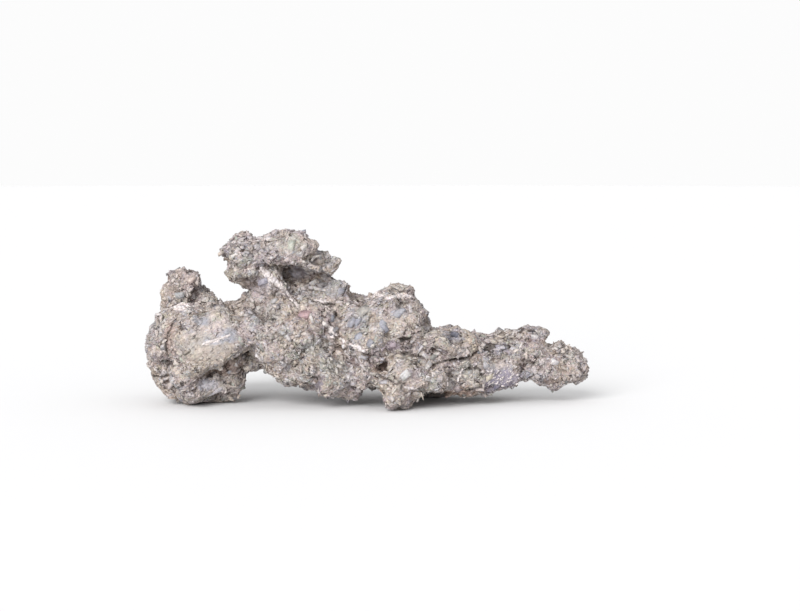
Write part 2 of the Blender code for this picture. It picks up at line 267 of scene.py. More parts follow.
# On a ridge that stands this far out of the smoothed skin, a chip is smaller by that share.
RIDGE, RIDGE_LOSS = 0.0035, 0.65

# Rounds of smoothing: what the blocks are measured from, what the worn faces are worn down to, what the
# splinters are drawn back to, and what the small pits and the broad hollows are measured from.
BLOCK_ROUNDS, WEAR_ROUNDS, REIN_ROUNDS = 50, 120, 60
PIT_ROUNDS, HOLLOW_ROUNDS = 6, 60
PIT_DEPTH, PIT_SHARE = 0.0008, 0.55
HOLLOW_DEPTH, HOLLOW_SHARE = 0.004, 0.28


def add_object(name, data):
    obj = bpy.data.objects.new(name, data)
    bpy.context.scene.collection.objects.link(obj)
    return obj


def merged_copy(node, name):
    """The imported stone's skin as a mesh of its own, with its loose triangles joined."""
    bm = bmesh.new()
    bm.from_mesh(node.data)
    bmesh.ops.remove_doubles(bm, verts=bm.verts, dist=0.00002)
    mesh = bpy.data.meshes.new(name)
    bm.to_mesh(mesh)
    bm.free()
    return add_object(name, mesh)


@contextmanager
def edited(obj):
    """The object's mesh to work on, put back at the end."""
    bm = bmesh.new()
    bm.from_mesh(obj.data)
    yield bm
    bm.to_mesh(obj.data)
    bm.free()


def apply_modifier(obj, kind, **settings):
    modifier = obj.modifiers.new(kind, kind)
    for name, value in settings.items():
        setattr(modifier, name, value)
    bpy.context.view_layer.update()
    graph = bpy.context.evaluated_depsgraph_get()
    mesh = bpy.data.meshes.new_from_object(obj.evaluated_get(graph))
    obj.modifiers.clear()
    obj.data = mesh


def add_swells(obj):
    """Adds the forms that stand out to the skin."""
    with edited(obj) as bm:
        for name, (centre, half_sizes, turn) in SWELLS.items():
            edge = SLAB_EDGE if name == "boulder_slab" else SWELL_EDGE
            turned = Matrix.Rotation(math.radians(turn), 4, "Y")
            place = Matrix.Translation(centre) @ turned @ Matrix.Diagonal((*half_sizes, 1.0))
            for vertex in bmesh.ops.create_icosphere(bm, subdivisions=4, radius=1.0)["verts"]:
                boxy = sum(abs(value) ** edge for value in vertex.co) ** (1.0 / edge)
                rough = 1.0 + SWELL_ROUGH * noise.noise((place @ vertex.co) / SWELL_ROUGH_PITCH)
                vertex.co = place @ (vertex.co * rough / boxy)


def refine(obj, voxel):
    """Gives the skin an even mesh of that size."""
    apply_modifier(obj, "REMESH", mode="VOXEL", voxel_size=voxel)


def rows_of(items, name, width=3, kind=np.float32):
    """One property of all the points, edges or faces, with a row for each."""
    values = np.empty(len(items) * width, kind)
    items.foreach_get(name, values)
    return values.reshape(-1, width)


def points_of(mesh):
    return rows_of(mesh.vertices, "co").astype(float)


def normals_of(mesh):
    return rows_of(mesh.vertices, "normal").astype(float)


def edges_of(mesh):
    return rows_of(mesh.edges, "vertices", 2, np.int32)


def triangles_of(mesh):
    mesh.calc_loop_triangles()
    return rows_of(mesh.loop_triangles, "vertices", 3, np.int32)


def set_points(mesh, points):
    mesh.vertices.foreach_set("co", points.astype(np.float32).ravel())
    mesh.update()


def above_floor(points):
    """The points, with any that lie below the floor brought up to it."""
    points[:, 2] = np.maximum(points[:, 2], 0.0)
    return points


def off_soles(points):
    """0 on the soles, rising to 1 just above them."""
    return np.clip((points[:, 2] - SOLE_HEIGHT) / SOLE_HEIGHT, 0.0, 1.0)


def eased(share):
    """A share from 0 to 1 with a soft start and a soft end."""
    return share * share * (3.0 - 2.0 * share)


def noise_at(points, pitch, shift=Vector()):
    """Smooth noise of that pitch at each point."""
    return np.array([noise.noise(Vector(point) / pitch + shift) for point in points])


def spread_evenly(values, edges, count, rounds):
    """Each point's value blended with its neighbours' that many times."""
    start, end = edges[:, 0], edges[:, 1]
    links = np.bincount(start, minlength=count) + np.bincount(end, minlength=count)
    links = np.maximum(links, 1)
    for _ in range(rounds):
        blended = np.empty_like(values)
        for axis in range(values.shape[1]):
            column = values[:, axis]
            total = np.bincount(start, column[end], count) + np.bincount(end, column[start], count)
            blended[:, axis] = total / links
        values = 0.5 * values + 0.5 * blended
    return values


def warped(point):
    """A small smooth shift, so that no fragment has a straight border."""
    at = point / WARP_PITCH
    shift = [noise.noise(at + SKIN_SEED * turn) for turn in (1, 2, 3)]
    return point + Vector(shift) * WARP


def rise_of_fragments(at, pitch, dome, slope, seam):
    """How far out the skin stands in a field of fragments, each a dome with a leaning broken face."""
    distances, centres = noise.voronoi(at / pitch)
    rounded = 1.0 - min(1.0, distances[0]) ** 2 - MEAN_DOME
    lean = noise.cell_vector(centres[0] * CELL_SPREAD) * 2.0 - UNIT
    broken = (at - centres[0] * pitch).dot(lean)
    gap = max(0.0, 1.0 - (distances[1] - distances[0]) / SEAM_SHARE)
    return dome * rounded + slope * broken - seam * gap


def rise_of_bed(at, dip, pitch, rise, cover, seed):
    """How far out the skin stands in beds that each jut at the bottom and fall back upwards."""
    slant = math.radians(dip)
    up = at.x * math.sin(slant) + at.z * math.cos(slant)
    warp = noise.noise(at / BED_WARP_PITCH + SKIN_SEED * seed) * BED_WARP
    share = ((up + warp) / pitch) % 1.0
    patch = noise.noise(at / BED_PATCH_PITCH - SKIN_SEED * seed) + cover - BED_PATCH_LEVEL
    return rise * ((1.0 - share) ** BED_FALL - BED_MIDDLE) * min(1.0, max(0.0, patch * BED_PATCH_EDGE))


def rise_of_beds(at):
    return sum(rise_of_bed(at, **bed) for bed in BEDS)


def broken_chip(luck):
    """The corners and triangles of one splinter about 1 across: a block with its corners broken off."""
    bm = bmesh.new()
    bmesh.ops.create_cube(bm, size=1.0)
    for vertex in bm.verts:
        vertex.co += Vector([luck.uniform(-CORNER_SHIFT, CORNER_SHIFT) for _ in range(3)])
    for _ in range(CORNER_CUTS):
        facing = Vector([luck.uniform(-1.0, 1.0) for _ in range(3)]).normalized()
        everything = bm.verts[:] + bm.edges[:] + bm.faces[:]
        cut = bmesh.ops.bisect_plane(
            bm, geom=everything, dist=1e-5, plane_co=facing * luck.uniform(*CUT_DEPTHS), plane_no=facing,
            clear_outer=True,
        )
        rim = [item for item in cut["geom_cut"] if isinstance(item, bmesh.types.BMEdge)]
        if rim:
            bmesh.ops.edgeloop_fill(bm, edges=rim)
    bmesh.ops.triangulate(bm, faces=bm.faces)
    bmesh.ops.recalc_face_normals(bm, faces=bm.faces)
    corners = np.array([vertex.co for vertex in bm.verts])
    bm.verts.index_update()
    faces = np.array([[vertex.index for vertex in face.verts] for face in bm.faces])
    bm.free()
    return corners, faces


def places_on_skin(mesh, count, luck):
    """Even random places on the skin: the points, the normals there and the nearest vertices."""
    corners = triangles_of(mesh)
    points = points_of(mesh)
    first, second, third = (points[corners[:, i]] for i in range(3))
    across = np.cross(second - first, third - first)
    areas = np.linalg.norm(across, axis=1)
    chosen = luck.choice(len(corners), count, p=areas / areas.sum())
    along, up = luck.random(count), luck.random(count)
    folded = along + up > 1.0
    along[folded], up[folded] = 1.0 - along[folded], 1.0 - up[folded]
    at = (
        first[chosen]
        + (second - first)[chosen] * along[:, None]
        + (third - first)[chosen] * up[:, None]
    )
    return at, across[chosen] / areas[chosen, None], corners[chosen, 0]


def beds_at(points, luck):
    """The up direction of the beds at each point, which dip east or west in drifts."""
    drifts = noise_at(points, BED_DRIFT_PITCH, SKIN_SEED)
    dips = np.radians(BED_DIP + BED_DIP_DRIFT * drifts + luck.normal(0.0, BED_DIP_SPREAD, len(points)))
    return np.stack([np.sin(dips), luck.normal(0.0, BED_ROLL, len(points)), np.cos(dips)], axis=1)


def grain_at(points):
    """The direction of the grain at each point, blended from the places round it, the same front and back."""
    doubled = np.zeros((len(points), 2))
    for x, z, lean in GRAIN:
        away = (points[:, 0] - x) ** 2 + (points[:, 2] - z) ** 2
        weight = 1.0 / (away + GRAIN_REACH ** 2) ** 2
        turn = math.radians(2.0 * lean)
        doubled += weight[:, None] * np.array((math.cos(turn), math.sin(turn)))
    lean = 0.5 * np.arctan2(doubled[:, 1], doubled[:, 0])
    return np.stack([np.cos(lean), np.zeros(len(points)), np.sin(lean)], axis=1)


def turned_frames(uprights, alongs, luck):
    """For each chip a turn that lays its third axis along the upright and its first along the grain."""
    uprights = uprights / np.linalg.norm(uprights, axis=1)[:, None]
    alongs = alongs + luck.normal(0.0, GRAIN_SPREAD, uprights.shape)
    aside = np.cross(uprights, alongs)
    aside /= np.linalg.norm(aside, axis=1)[:, None]
    return np.stack([np.cross(aside, uprights), aside, uprights], axis=2)


def keep_values(mesh, name, values):
    """Keeps one number, or one colour, for each point."""
    if values.ndim == 1:
        mesh.attributes.new(name, "FLOAT", "POINT").data.foreach_set("value", values.astype(np.float32))
    else:
        attribute = mesh.attributes.new(name, "FLOAT_COLOR", "POINT")
        attribute.data.foreach_set("color", values.astype(np.float32).ravel())


def joined_chips(name, shapes, at, frames, sizes, values):
    """One mesh of all the chips, each with its own value of each named attribute."""
    kind = np.arange(len(at)) % len(shapes)
    all_points, all_faces, owners = [], [], []
    offset = 0
    for index, (corners, faces) in enumerate(shapes):
        mine = np.nonzero(kind == index)[0]
        local = corners[None] * sizes[mine][:, None, :]
        placed = np.einsum("nij,nkj->nki", frames[mine], local) + at[mine][:, None, :]
        shifts = offset + np.arange(len(mine)) * len(corners)
        all_points.append(placed.reshape(-1, 3))
        all_faces.append((faces[None] + shifts[:, None, None]).reshape(-1, 3))
        owners.append(np.repeat(mine, len(corners)))
        offset += len(mine) * len(corners)
    points = above_floor(np.concatenate(all_points))
    faces, owner = np.concatenate(all_faces), np.concatenate(owners)
    mesh = bpy.data.meshes.new(name)
    mesh.vertices.add(len(points))
    mesh.loops.add(faces.size)
    mesh.polygons.add(len(faces))
    mesh.vertices.foreach_set("co", points.astype(np.float32).ravel())
    mesh.loops.foreach_set("vertex_index", faces.astype(np.int32).ravel())
    mesh.polygons.foreach_set("loop_start", np.arange(0, faces.size, 3, dtype=np.int32))
    mesh.update(calc_edges=True)
    mesh.validate()
    for attribute, per_chip in values.items():
        keep_values(mesh, attribute, per_chip[owner])
    return add_object(name, mesh)


def hollow_depths(mesh, rounds):
    """How far each point lies below the smoothed skin, in metres: above zero in a hollow."""
    points = points_of(mesh)
    normals = normals_of(mesh)
    smooth = spread_evenly(points, edges_of(mesh), len(points), rounds)
    return ((smooth - points) * normals).sum(axis=1)


def size_on(hollows):
    """How much smaller a chip is on a sharp ridge, so that it does not stick out past it."""
    return 1.0 - RIDGE_LOSS * np.clip(-hollows / RIDGE, 0.0, 1.0)


def chip_sizes(across, luck, *spreads):
    """Each chip's length, width and thickness, as random shares of how far across it is."""
    return across[:, None] * np.stack([luck.uniform(*spread, len(across)) for spread in spreads], axis=1)


def chip_frames(at, normals, with_skin, luck):
    """A turn for each chip, between flush with the skin and along the beds."""
    uprights = normals * with_skin + beds_at(at, luck) * (1.0 - with_skin)
    return turned_frames(uprights, grain_at(at), luck)


def sunk(at, normals, frames, sizes, share, stands):
    """Each chip's middle, sunk by that share of its half depth, so that it stands out by so much."""
    depth = 0.5 * (np.abs(np.einsum("nij,ni->nj", frames, normals)) * sizes).sum(axis=1)
    return at - normals * (share * depth - stands)[:, None]


def set_blocks(obj, shapes, count, least, most, rarity, stand, luck):
    """Sets angular blocks into the skin, each nearly flush with it or along the beds."""
    at, normals, nearest = places_on_skin(obj.data, count, luck)
    across = least + (most - least) * luck.random(count) ** rarity
    across *= size_on(hollow_depths(obj.data, BLOCK_ROUNDS)[nearest])
    sizes = chip_sizes(across, luck, *BLOCK_SPREADS)
    frames = chip_frames(at, normals, luck.uniform(*BLOCK_FLUSH, count)[:, None], luck)
    centres = sunk(at, normals, frames, sizes, BLOCK_SINK, luck.uniform(*stand, count))
    kept = (centres[:, 2] - 0.5 * sizes[:, 0] > 0.0) & (luck.random(count) > WEAR_ON_BLOCKS * wear_at(at))
    own = {"own": luck.random(count)[kept]}
    return joined_chips("blocks", shapes, centres[kept], frames[kept], sizes[kept], own)


def keep_largest_piece(obj):
    """Drops the bubbles that joining has closed in, and any crumb that touches nothing."""
    edges = edges_of(obj.data)
    piece = np.arange(len(obj.data.vertices))
    while True:
        lower = np.minimum(piece[edges[:, 0]], piece[edges[:, 1]])
        before = piece.copy()
        np.minimum.at(piece, edges[:, 0], lower)
        np.minimum.at(piece, edges[:, 1], lower)
        piece = piece[piece]
        if np.array_equal(piece, before):
            break
    largest = np.argmax(np.bincount(piece))
    with edited(obj) as bm:
        bm.verts.ensure_lookup_table()
        loose = [bm.verts[index] for index in np.nonzero(piece != largest)[0]]
        bmesh.ops.delete(bm, geom=loose, context="VERTS")


def shift_parts(obj):
    """Moves each named part a little, and what lies round it ever less."""
    points = points_of(obj.data)
    seen = points[:, [0, 2]]
    moves = np.zeros_like(seen)
    for where, reach, shift in SHIFTS.values():
        share = np.clip(1.0 - np.linalg.norm(seen - np.array(where), axis=1) / reach, 0.0, 1.0)
        moves += eased(share)[:, None] * np.array(shift)
    points[:, [0, 2]] += moves
    set_points(obj.data, above_floor(points))


def skin_of(objects):
    """The skins of several chips in one search tree, and the value of each triangle's own mineral."""
    points, faces, minerals = [], [], []
    for obj in objects:
        corners = rows_of(obj.data.polygons, "vertices", 3, np.int32)
        own = rows_of(obj.data.attributes["own"].data, "value", 1)[:, 0]
        faces.append(corners + sum(len(some) for some in points))
        points.append(points_of(obj.data))
        minerals.append(own[corners[:, 0]])
    tree = BVHTree.FromPolygons(np.concatenate(points).tolist(), np.concatenate(faces).tolist())
    return tree, np.concatenate(minerals)


def mineral_under(mesh, tree, minerals):
    """The mineral of the block that each point lies on, from 0 to 1, or -1 on the cement between them."""
    found = np.full(len(mesh.vertices), -1.0)
    for index, point in enumerate(points_of(mesh)):
        face = tree.find_nearest(Vector(point), BLOCK_REACH)[2]
        if face is not None:
            found[index] = minerals[face]
    return found


def join_into(obj, others):
    with edited(obj) as bm:
        for other in others:
            bm.from_mesh(other.data)
            bpy.data.objects.remove(other)


def share_inside(points, centre, half_sizes):
    """1 at the middle of an egg-shaped place, falling smoothly to 0 at its edge."""
    away = np.linalg.norm((points - np.array(centre)) / np.array(half_sizes), axis=1)
    return eased(np.clip((1.0 - away) / WORN_EDGE, 0.0, 1.0))


def wear_at(points):
    """How smooth the water has worn the skin, from 0 to 1."""
    wear = np.zeros(len(points))
    for centre, half_sizes, amount in WORN_FACES.values():
        wear = np.maximum(wear, amount * share_inside(points, centre, half_sizes))
    return wear


def wear_down(obj, rounds):
    """Takes the lumps off the worn faces."""
    points = points_of(obj.data)
    worn = spread_evenly(points, edges_of(obj.data), len(points), rounds)
    amount = wear_at(points)[:, None]
    set_points(obj.data, points * (1.0 - amount) + worn * amount)


def open_crevice(points, facing, stops):
    """Moves the points under a lip into the stone, and the lip itself out a little."""
    depths = np.zeros(len(points))
    nearest = np.full(len(points), np.inf)
    for (x0, z0, depth0, reach0), (x1, z1, depth1, reach1) in zip(stops, stops[1:]):
        run = np.array((x1 - x0, z1 - z0))
        length = np.linalg.norm(run)
        run = run / length
        offset = points[:, [0, 2]] - np.array((x0, z0))
        along = np.clip(offset @ run / length, 0.0, 1.0)
        above = offset @ np.array((-run[1], run[0]))
        away = np.linalg.norm(offset - along[:, None] * length * run, axis=1)
        depth = depth0 + (depth1 - depth0) * along
        reach = reach0 + (reach1 - reach0) * along
        below = np.clip(1.0 - away / reach, 0.0, 1.0) ** CREVICE_FALL * depth
        lip = np.clip(1.0 - away / LIP_HEIGHT, 0.0, 1.0) * LIP_PROUD * np.minimum(1.0, depth / LIP_DEPTH)
        here = np.where(above < 0.0, below, -lip)
        closer = away < nearest
        depths[closer] = here[closer]
        nearest = np.minimum(nearest, away)
    points[:, 1] += depths * facing


def open_crevices(obj):
    points = points_of(obj.data)
    normals = normals_of(obj.data)
    turned = np.clip((LEAST_FACING - normals[:, 1]) / FULL_FACING, 0.0, 1.0)
    facing = turned * (points[:, 1] < CREVICE_BACK)
    shifted = points.copy()
    shifted[:, 2] += noise_at(points, CREVICE_WAVE_PITCH) * CREVICE_WAVE
    for stops in CREVICES.values():
        open_crevice(shifted, facing, stops)
    points[:, 1] = shifted[:, 1]
    set_points(obj.data, points)


def push_skin(obj, rise_at):
    """Moves the skin along its normals by the rise at each warped point, but never the soles."""
    points = points_of(obj.data)
    normals = normals_of(obj.data)
    rises = np.array([rise_at(warped(Vector(point))) for point in points])
    rises *= off_soles(points) * (1.0 - WEAR_ON_SKIN * wear_at(points))
    set_points(obj.data, above_floor(points + normals * rises[:, None]))


def rein_in(obj, most, rounds):
    """Draws back the splinters that stand out from the skin by more than that."""
    points = points_of(obj.data)
    normals = normals_of(obj.data)
    smooth = spread_evenly(points, edges_of(obj.data), len(points), rounds)
    out = ((points - smooth) * normals).sum(axis=1)
    share = DRAWN_BACK * np.clip(1.0 - most / np.maximum(out, most), 0.0, 1.0)[:, None]
    set_points(obj.data, points * (1.0 - share) + smooth * share)


def break_into_faces(obj, pitch, lean, flatness):
    """Flattens the skin into broken faces, each the mean plane of one patch of it, leaning a little."""
    points = points_of(obj.data)
    normals = normals_of(obj.data)
    centres = np.array([noise.voronoi(warped(Vector(point)) / pitch)[1][0] for point in points])
    main_axis = np.argmax(np.abs(normals), axis=1)
    side = main_axis * 2 + (normals[np.arange(len(points)), main_axis] > 0.0)
    keys = np.concatenate([np.round(centres * 1000.0).astype(np.int64), side[:, None]], axis=1)
    found, patch = np.unique(keys, axis=0, return_inverse=True)
    patch = patch.ravel()
    count = np.maximum(np.bincount(patch), 1)[:, None]
    middles = np.stack([np.bincount(patch, points[:, axis]) for axis in range(3)], axis=1) / count
    facings = np.stack([np.bincount(patch, normals[:, axis]) for axis in range(3)], axis=1)
    facings /= np.maximum(np.linalg.norm(facings, axis=1), 1e-9)[:, None]
    seeds = [Vector(key[:3]) * KEY_SPREAD + UNIT * float(key[3]) for key in found]
    turns = np.array([noise.cell_vector(seed) for seed in seeds])
    facings += lean * (turns * 2.0 - 1.0)
    facings /= np.linalg.norm(facings, axis=1)[:, None]
    offset = ((points - middles[patch]) * facings[patch]).sum(axis=1)
    offset = np.clip(offset, -MOST_FLATTENED * pitch, MOST_FLATTENED * pitch)
    amount = flatness * off_soles(points) * (1.0 - WEAR_ON_BREAKS * wear_at(points))
    set_points(obj.data, above_floor(points - facings[patch] * (offset * amount)[:, None]))


def thin_out(obj, faces):
    """Leaves about that many triangles, the most where the skin is roughest."""
    with edited(obj) as bm:
        bmesh.ops.triangulate(bm, faces=bm.faces)
        now = len(bm.faces)
    apply_modifier(obj, "DECIMATE", ratio=min(1.0, faces / now))


body = merged_copy(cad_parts["ibigawa_rock"], "rock_body")
add_swells(body)
refine(body, COARSE_VOXEL)
apply_modifier(body, "SMOOTH", factor=0.5, iterations=3)
shift_parts(body)
wear_down(body, WEAR_ROUNDS)
refine(body, MIDDLE_VOXEL)
push_skin(body, lambda at: rise_of_fragments(at, **COBBLES) + rise_of_beds(at) - SKIN_UNDER_BLOCKS)
block_luck = np.random.default_rng(523)
shape_luck = random.Random(41)
block_shapes = [broken_chip(shape_luck) for _ in range(BLOCK_SHAPES)]
blocks = [set_blocks(body, block_shapes, luck=block_luck, **kind) for kind in BLOCKS]
block_skin, block_minerals = skin_of(blocks)
join_into(body, blocks)
refine(body, FINE_VOXEL)
open_crevices(body)
refine(body, FINE_VOXEL)
push_skin(body, lambda at: rise_of_fragments(at, **PEBBLES))
rein_in(body, MOST_OUT, REIN_ROUNDS)
break_into_faces(body, **MIDDLE_FACES)
break_into_faces(body, **SMALL_FACES)
keep_largest_piece(body)
thin_out(body, BODY_FACES)
mineral = mineral_under(body.data, block_skin, block_minerals)
keep_values(body.data, "mineral", mineral)

# How deep each point lies in a pit or a hollow, where grime and painted shade darken the colour.
pits = hollow_depths(body.data, PIT_ROUNDS)
broad_hollows = hollow_depths(body.data, HOLLOW_ROUNDS)
crevice = PIT_SHARE * np.clip(pits / PIT_DEPTH, -1.0, 1.0)
crevice = crevice + HOLLOW_SHARE * np.clip(broad_hollows / HOLLOW_DEPTH, -1.0, 1.0)
keep_values(body.data, "crevice", crevice)
keep_values(body.data, "worn", wear_at(points_of(body.data)))


def colour(red, green, blue):
    """A colour of 0 to 255 as the shader takes it."""
    shares = [value / 255 for value in (red, green, blue)]
    linear = [s / 12.92 if s <= 0.04045 else ((s + 0.055) / 1.055) ** 2.4 for s in shares]
    return (*linear, 1.0)


# Places with a colour of their own, a few of them darkened in part by painted shade: centre, half sizes,
# colour, and how strong it is. Their edges are crooked by two sizes of wobble, each with its pitch and how
# far it goes.
PATCHES = {
    "boulder_ochre": ((-0.156, -0.06, 0.056), (0.036, 0.028, 0.026), colour(187, 178, 163), 0.6),
    "boulder_blue_top": ((-0.1615, -0.05, 0.0855), (0.0135, 0.022, 0.0062), colour(168, 170, 178), 0.9),
    "boulder_blue_face": ((-0.137, -0.06, 0.0735), (0.013, 0.022, 0.0088), colour(176, 178, 187), 0.9),
    "boulder_blue_west": ((-0.1505, -0.06, 0.0675), (0.013, 0.022, 0.007), colour(180, 181, 189), 0.85),
    "boulder_blue_east": ((-0.116, -0.045, 0.093), (0.01, 0.022, 0.006), colour(180, 182, 190), 0.55),
    "boulder_rust": ((-0.193, -0.055, 0.07), (0.008, 0.025, 0.02), colour(182, 160, 151), 0.7),
    "boulder_top_ochre": ((-0.133, -0.02, 0.1), (0.022, 0.028, 0.01), colour(200, 188, 176), 0.5),
    "recess_brown": ((-0.142, -0.028, 0.04), (0.026, 0.024, 0.013), colour(168, 149, 138), 0.75),
    "foot_pale": ((-0.15, -0.04, 0.017), (0.032, 0.034, 0.019), colour(224, 216, 211), 0.62),
    "foot_blue": ((-0.158, -0.04, 0.024), (0.014, 0.024, 0.0085), colour(222, 222, 231), 0.8),
    "foot_pink": ((-0.146, -0.034, 0.013), (0.014, 0.024, 0.0065), colour(228, 217, 216), 0.75),
    "neck_blue": ((-0.103, -0.026, 0.123), (0.011, 0.02, 0.008), colour(188, 186, 201), 0.7),
    "hollow_blue": ((-0.072, -0.008, 0.131), (0.017, 0.022, 0.009), colour(161, 160, 170), 0.75),
    # Brown, and partly painted shade on the jaw's underside.
    "jaw_brown": ((-0.118, -0.034, 0.123), (0.012, 0.022, 0.009), colour(145, 131, 124), 0.6),
    "shoulder_grey": ((-0.034, -0.03, 0.115), (0.016, 0.022, 0.012), colour(183, 184, 189), 0.55),
    "neck_grey": ((-0.1, -0.04, 0.09), (0.022, 0.024, 0.016), colour(191, 191, 189), 0.45),
    "knob_rust": ((-0.185, -0.02, 0.124), (0.022, 0.03, 0.02), colour(191, 177, 172), 0.5),
    "head_green": ((-0.076, -0.044, 0.16), (0.016, 0.02, 0.011), colour(198, 201, 191), 0.35),
    "head_mauve": ((-0.068, -0.02, 0.172), (0.012, 0.026, 0.007), colour(203, 191, 198), 0.6),
    "body_blue": ((-0.014, -0.046, 0.087), (0.014, 0.022, 0.013), colour(182, 185, 194), 0.55),
    "body_green": ((-0.05, -0.054, 0.062), (0.02, 0.024, 0.012), colour(196, 200, 192), 0.45),
    "body_pink": ((-0.06, -0.052, 0.093), (0.01, 0.02, 0.008), colour(202, 181, 182), 0.45),
    "belly_green": ((-0.037, -0.055, 0.042), (0.018, 0.024, 0.01), colour(192, 196, 188), 0.45),
    "dome_blue": ((0.03, -0.048, 0.095), (0.012, 0.022, 0.009), colour(185, 187, 194), 0.6),
    "dome_ochre": ((0.028, -0.05, 0.082), (0.022, 0.024, 0.012), colour(203, 193, 180), 0.35),
    # Painted shade: the pit painted near black.
    "dome_pit": ((0.0345, -0.0535, 0.0695), (0.0046, 0.012, 0.0038), colour(60, 56, 55), 1.0),
    "dome_mauve": ((0.023, -0.056, 0.062), (0.01, 0.018, 0.006), colour(196, 183, 194), 0.7),
    # Brown, and partly painted shade in the recess.
    "recess_dark": ((0.012, -0.05, 0.042), (0.01, 0.016, 0.007), colour(138, 121, 112), 0.9),
    "ledge_blue": ((0.087, -0.034, 0.07), (0.014, 0.02, 0.007), colour(174, 176, 189), 0.6),
    "tail_purple": ((0.13, -0.031, 0.0245), (0.026, 0.024, 0.015), colour(158, 153, 170), 0.9),
    "tail_yellow": ((0.119, -0.038, 0.029), (0.005, 0.018, 0.004), colour(213, 206, 186), 0.6),
    "tail_green": ((0.095, -0.04, 0.04), (0.02, 0.022, 0.01), colour(195, 198, 189), 0.45),
    "tail_blue_streak": ((0.128, -0.028, 0.056), (0.016, 0.02, 0.005), colour(185, 182, 197), 0.65),
    "tail_rust_edge": ((0.085, -0.036, 0.0135), (0.036, 0.026, 0.0065), colour(164, 139, 123), 0.8),
    # Brown, and partly painted shade in the hollow.
    "end_brown": ((0.181, -0.019, 0.023), (0.01, 0.018, 0.007), colour(142, 124, 115), 0.75),
    "end_pale": ((0.185, -0.01, 0.056), (0.013, 0.024, 0.006), colour(218, 214, 215), 0.6),
    "back_blue": ((-0.13, 0.06, 0.07), (0.03, 0.03, 0.02), colour(188, 189, 198), 0.5),
    "back_ochre": ((0.01, 0.06, 0.06), (0.036, 0.03, 0.022), colour(201, 191, 177), 0.5),
    "back_mauve": ((0.09, 0.05, 0.05), (0.026, 0.03, 0.016), colour(198, 188, 198), 0.5),
}
PATCH_WOBBLES = ((0.012, 0.005), (0.0035, 0.0022))

# Seams of white quartz through the stone: points along each, with its width there.
SEAMS = {
    "neck": (
        (-0.1055, -0.034, 0.137, 0.004), (-0.0978, -0.026, 0.129, 0.0064), (-0.0882, -0.026, 0.1209, 0.0052),
        (-0.0819, -0.026, 0.1134, 0.0034), (-0.0763, -0.03, 0.1066, 0.0028), (-0.0693, -0.036, 0.1, 0.0012),
    ),
    "body_upper": (
        (-0.044, -0.045, 0.085, 0.002), (-0.037, -0.043, 0.0775, 0.0056), (-0.0313, -0.04, 0.0713, 0.0024),
    ),
    "body_middle": ((-0.0285, -0.046, 0.069, 0.0014), (-0.0235, -0.05, 0.066, 0.002)),
    "body_lower": (
        (-0.017, -0.062, 0.0639, 0.0026), (-0.0101, -0.065, 0.0613, 0.0046), (-0.0024, -0.066, 0.0585, 0.002),
    ),
    "shoulder": (
        (-0.0526, -0.042, 0.1049, 0.0017), (-0.0459, -0.037, 0.1046, 0.0032),
        (-0.0391, -0.038, 0.1036, 0.0017),
    ),
    "knob_foot": (
        (-0.19, -0.04, 0.0982, 0.003), (-0.1842, -0.042, 0.0994, 0.0052), (-0.178, -0.044, 0.0998, 0.0026),
    ),
    "boulder_line": (
        (-0.16, -0.06, 0.065, 0.0009), (-0.148, -0.061, 0.069, 0.0014), (-0.1345, -0.059, 0.073, 0.0009),
    ),
    "saddle": (
        (-0.006, -0.012, 0.108, 0.002), (0.004, -0.012, 0.109, 0.0038), (0.014, -0.014, 0.11, 0.002),
    ),
    "dome_knob": (
        (0.018, -0.02, 0.108, 0.0017), (0.0305, -0.019, 0.1085, 0.0032), (0.042, -0.02, 0.107, 0.002),
    ),
    "tail_streak": (
        (0.087, -0.043, 0.026, 0.0012), (0.089, -0.043, 0.032, 0.002), (0.0915, -0.043, 0.0385, 0.0012),
    ),
    "front_foot": (
        (0.035, -0.077, 0.0245, 0.0012), (0.042, -0.074, 0.0225, 0.002), (0.049, -0.07, 0.021, 0.0012),
    ),
    "back_neck": (
        (-0.11, 0.03, 0.125, 0.0017), (-0.085, 0.035, 0.1, 0.0043), (-0.06, 0.04, 0.08, 0.0017),
    ),
    "back_tail": (
        (0.07, 0.04, 0.055, 0.0014), (0.1, 0.036, 0.046, 0.0035), (0.13, 0.03, 0.04, 0.0014),
    ),
}

# Their colour and how strong it is, how soft their edges are, how far they reach to the front and the back
# of their line, and how crooked they are.
SEAM_COLOUR, SEAM_STRENGTH = colour(280, 271, 268), 0.95
SEAM_EDGE = 0.0009
SEAM_DEPTH = 0.02
SEAM_WOBBLE_PITCH, SEAM_WOBBLE = 0.004, 0.0016

# Painted shadow under the lips: its colour, how strong it is, its width as a share of the crevice's
# reach, how far below the lip it lies, and where it lies from front to back and how far round that. The
# slab's lip is in full light and holds none.
PAINTED_SHADOW, PAINTED_SHADOW_STRENGTH, PAINTED_SHADOW_WIDTH, PAINTED_SHADOW_DROP = colour(80, 70, 64), 0.88, 0.5, 0.0009
PAINTED_SHADOW_FRONT, PAINTED_SHADOW_REACH, FULL_PAINTED_SHADOW_DEPTH = -0.04, 0.045, 0.005


def share_along(points, stops, depth=SEAM_DEPTH):
    """1 on a line through those stops seen from the front, and 0 beyond its edges or out of its depth."""
    found = np.zeros(len(points))
    for start, stop in zip(stops, stops[1:]):
        start, stop = np.array(start), np.array(stop)
        run = (stop - start)[[0, 2]]
        offset = points[:, [0, 2]] - start[[0, 2]]
        along = np.clip(offset @ run / (run @ run), 0.0, 1.0)
        away = np.linalg.norm(offset - along[:, None] * run, axis=1)
        middle = start + along[:, None] * (stop - start)
        beside = np.clip((0.5 * middle[:, 3] + SEAM_EDGE - away) / SEAM_EDGE, 0.0, 1.0)
        found = np.maximum(found, beside * (np.abs(points[:, 1] - middle[:, 1]) < depth))
    return found


def painted_shadow_stops(stops):
    """A crevice's line of painted shadow, as points along it with its width there."""
    return [
        (x, PAINTED_SHADOW_FRONT, z - PAINTED_SHADOW_DROP, PAINTED_SHADOW_WIDTH * reach * min(1.0, depth / FULL_PAINTED_SHADOW_DEPTH))
        for x, z, depth, reach in stops
    ]


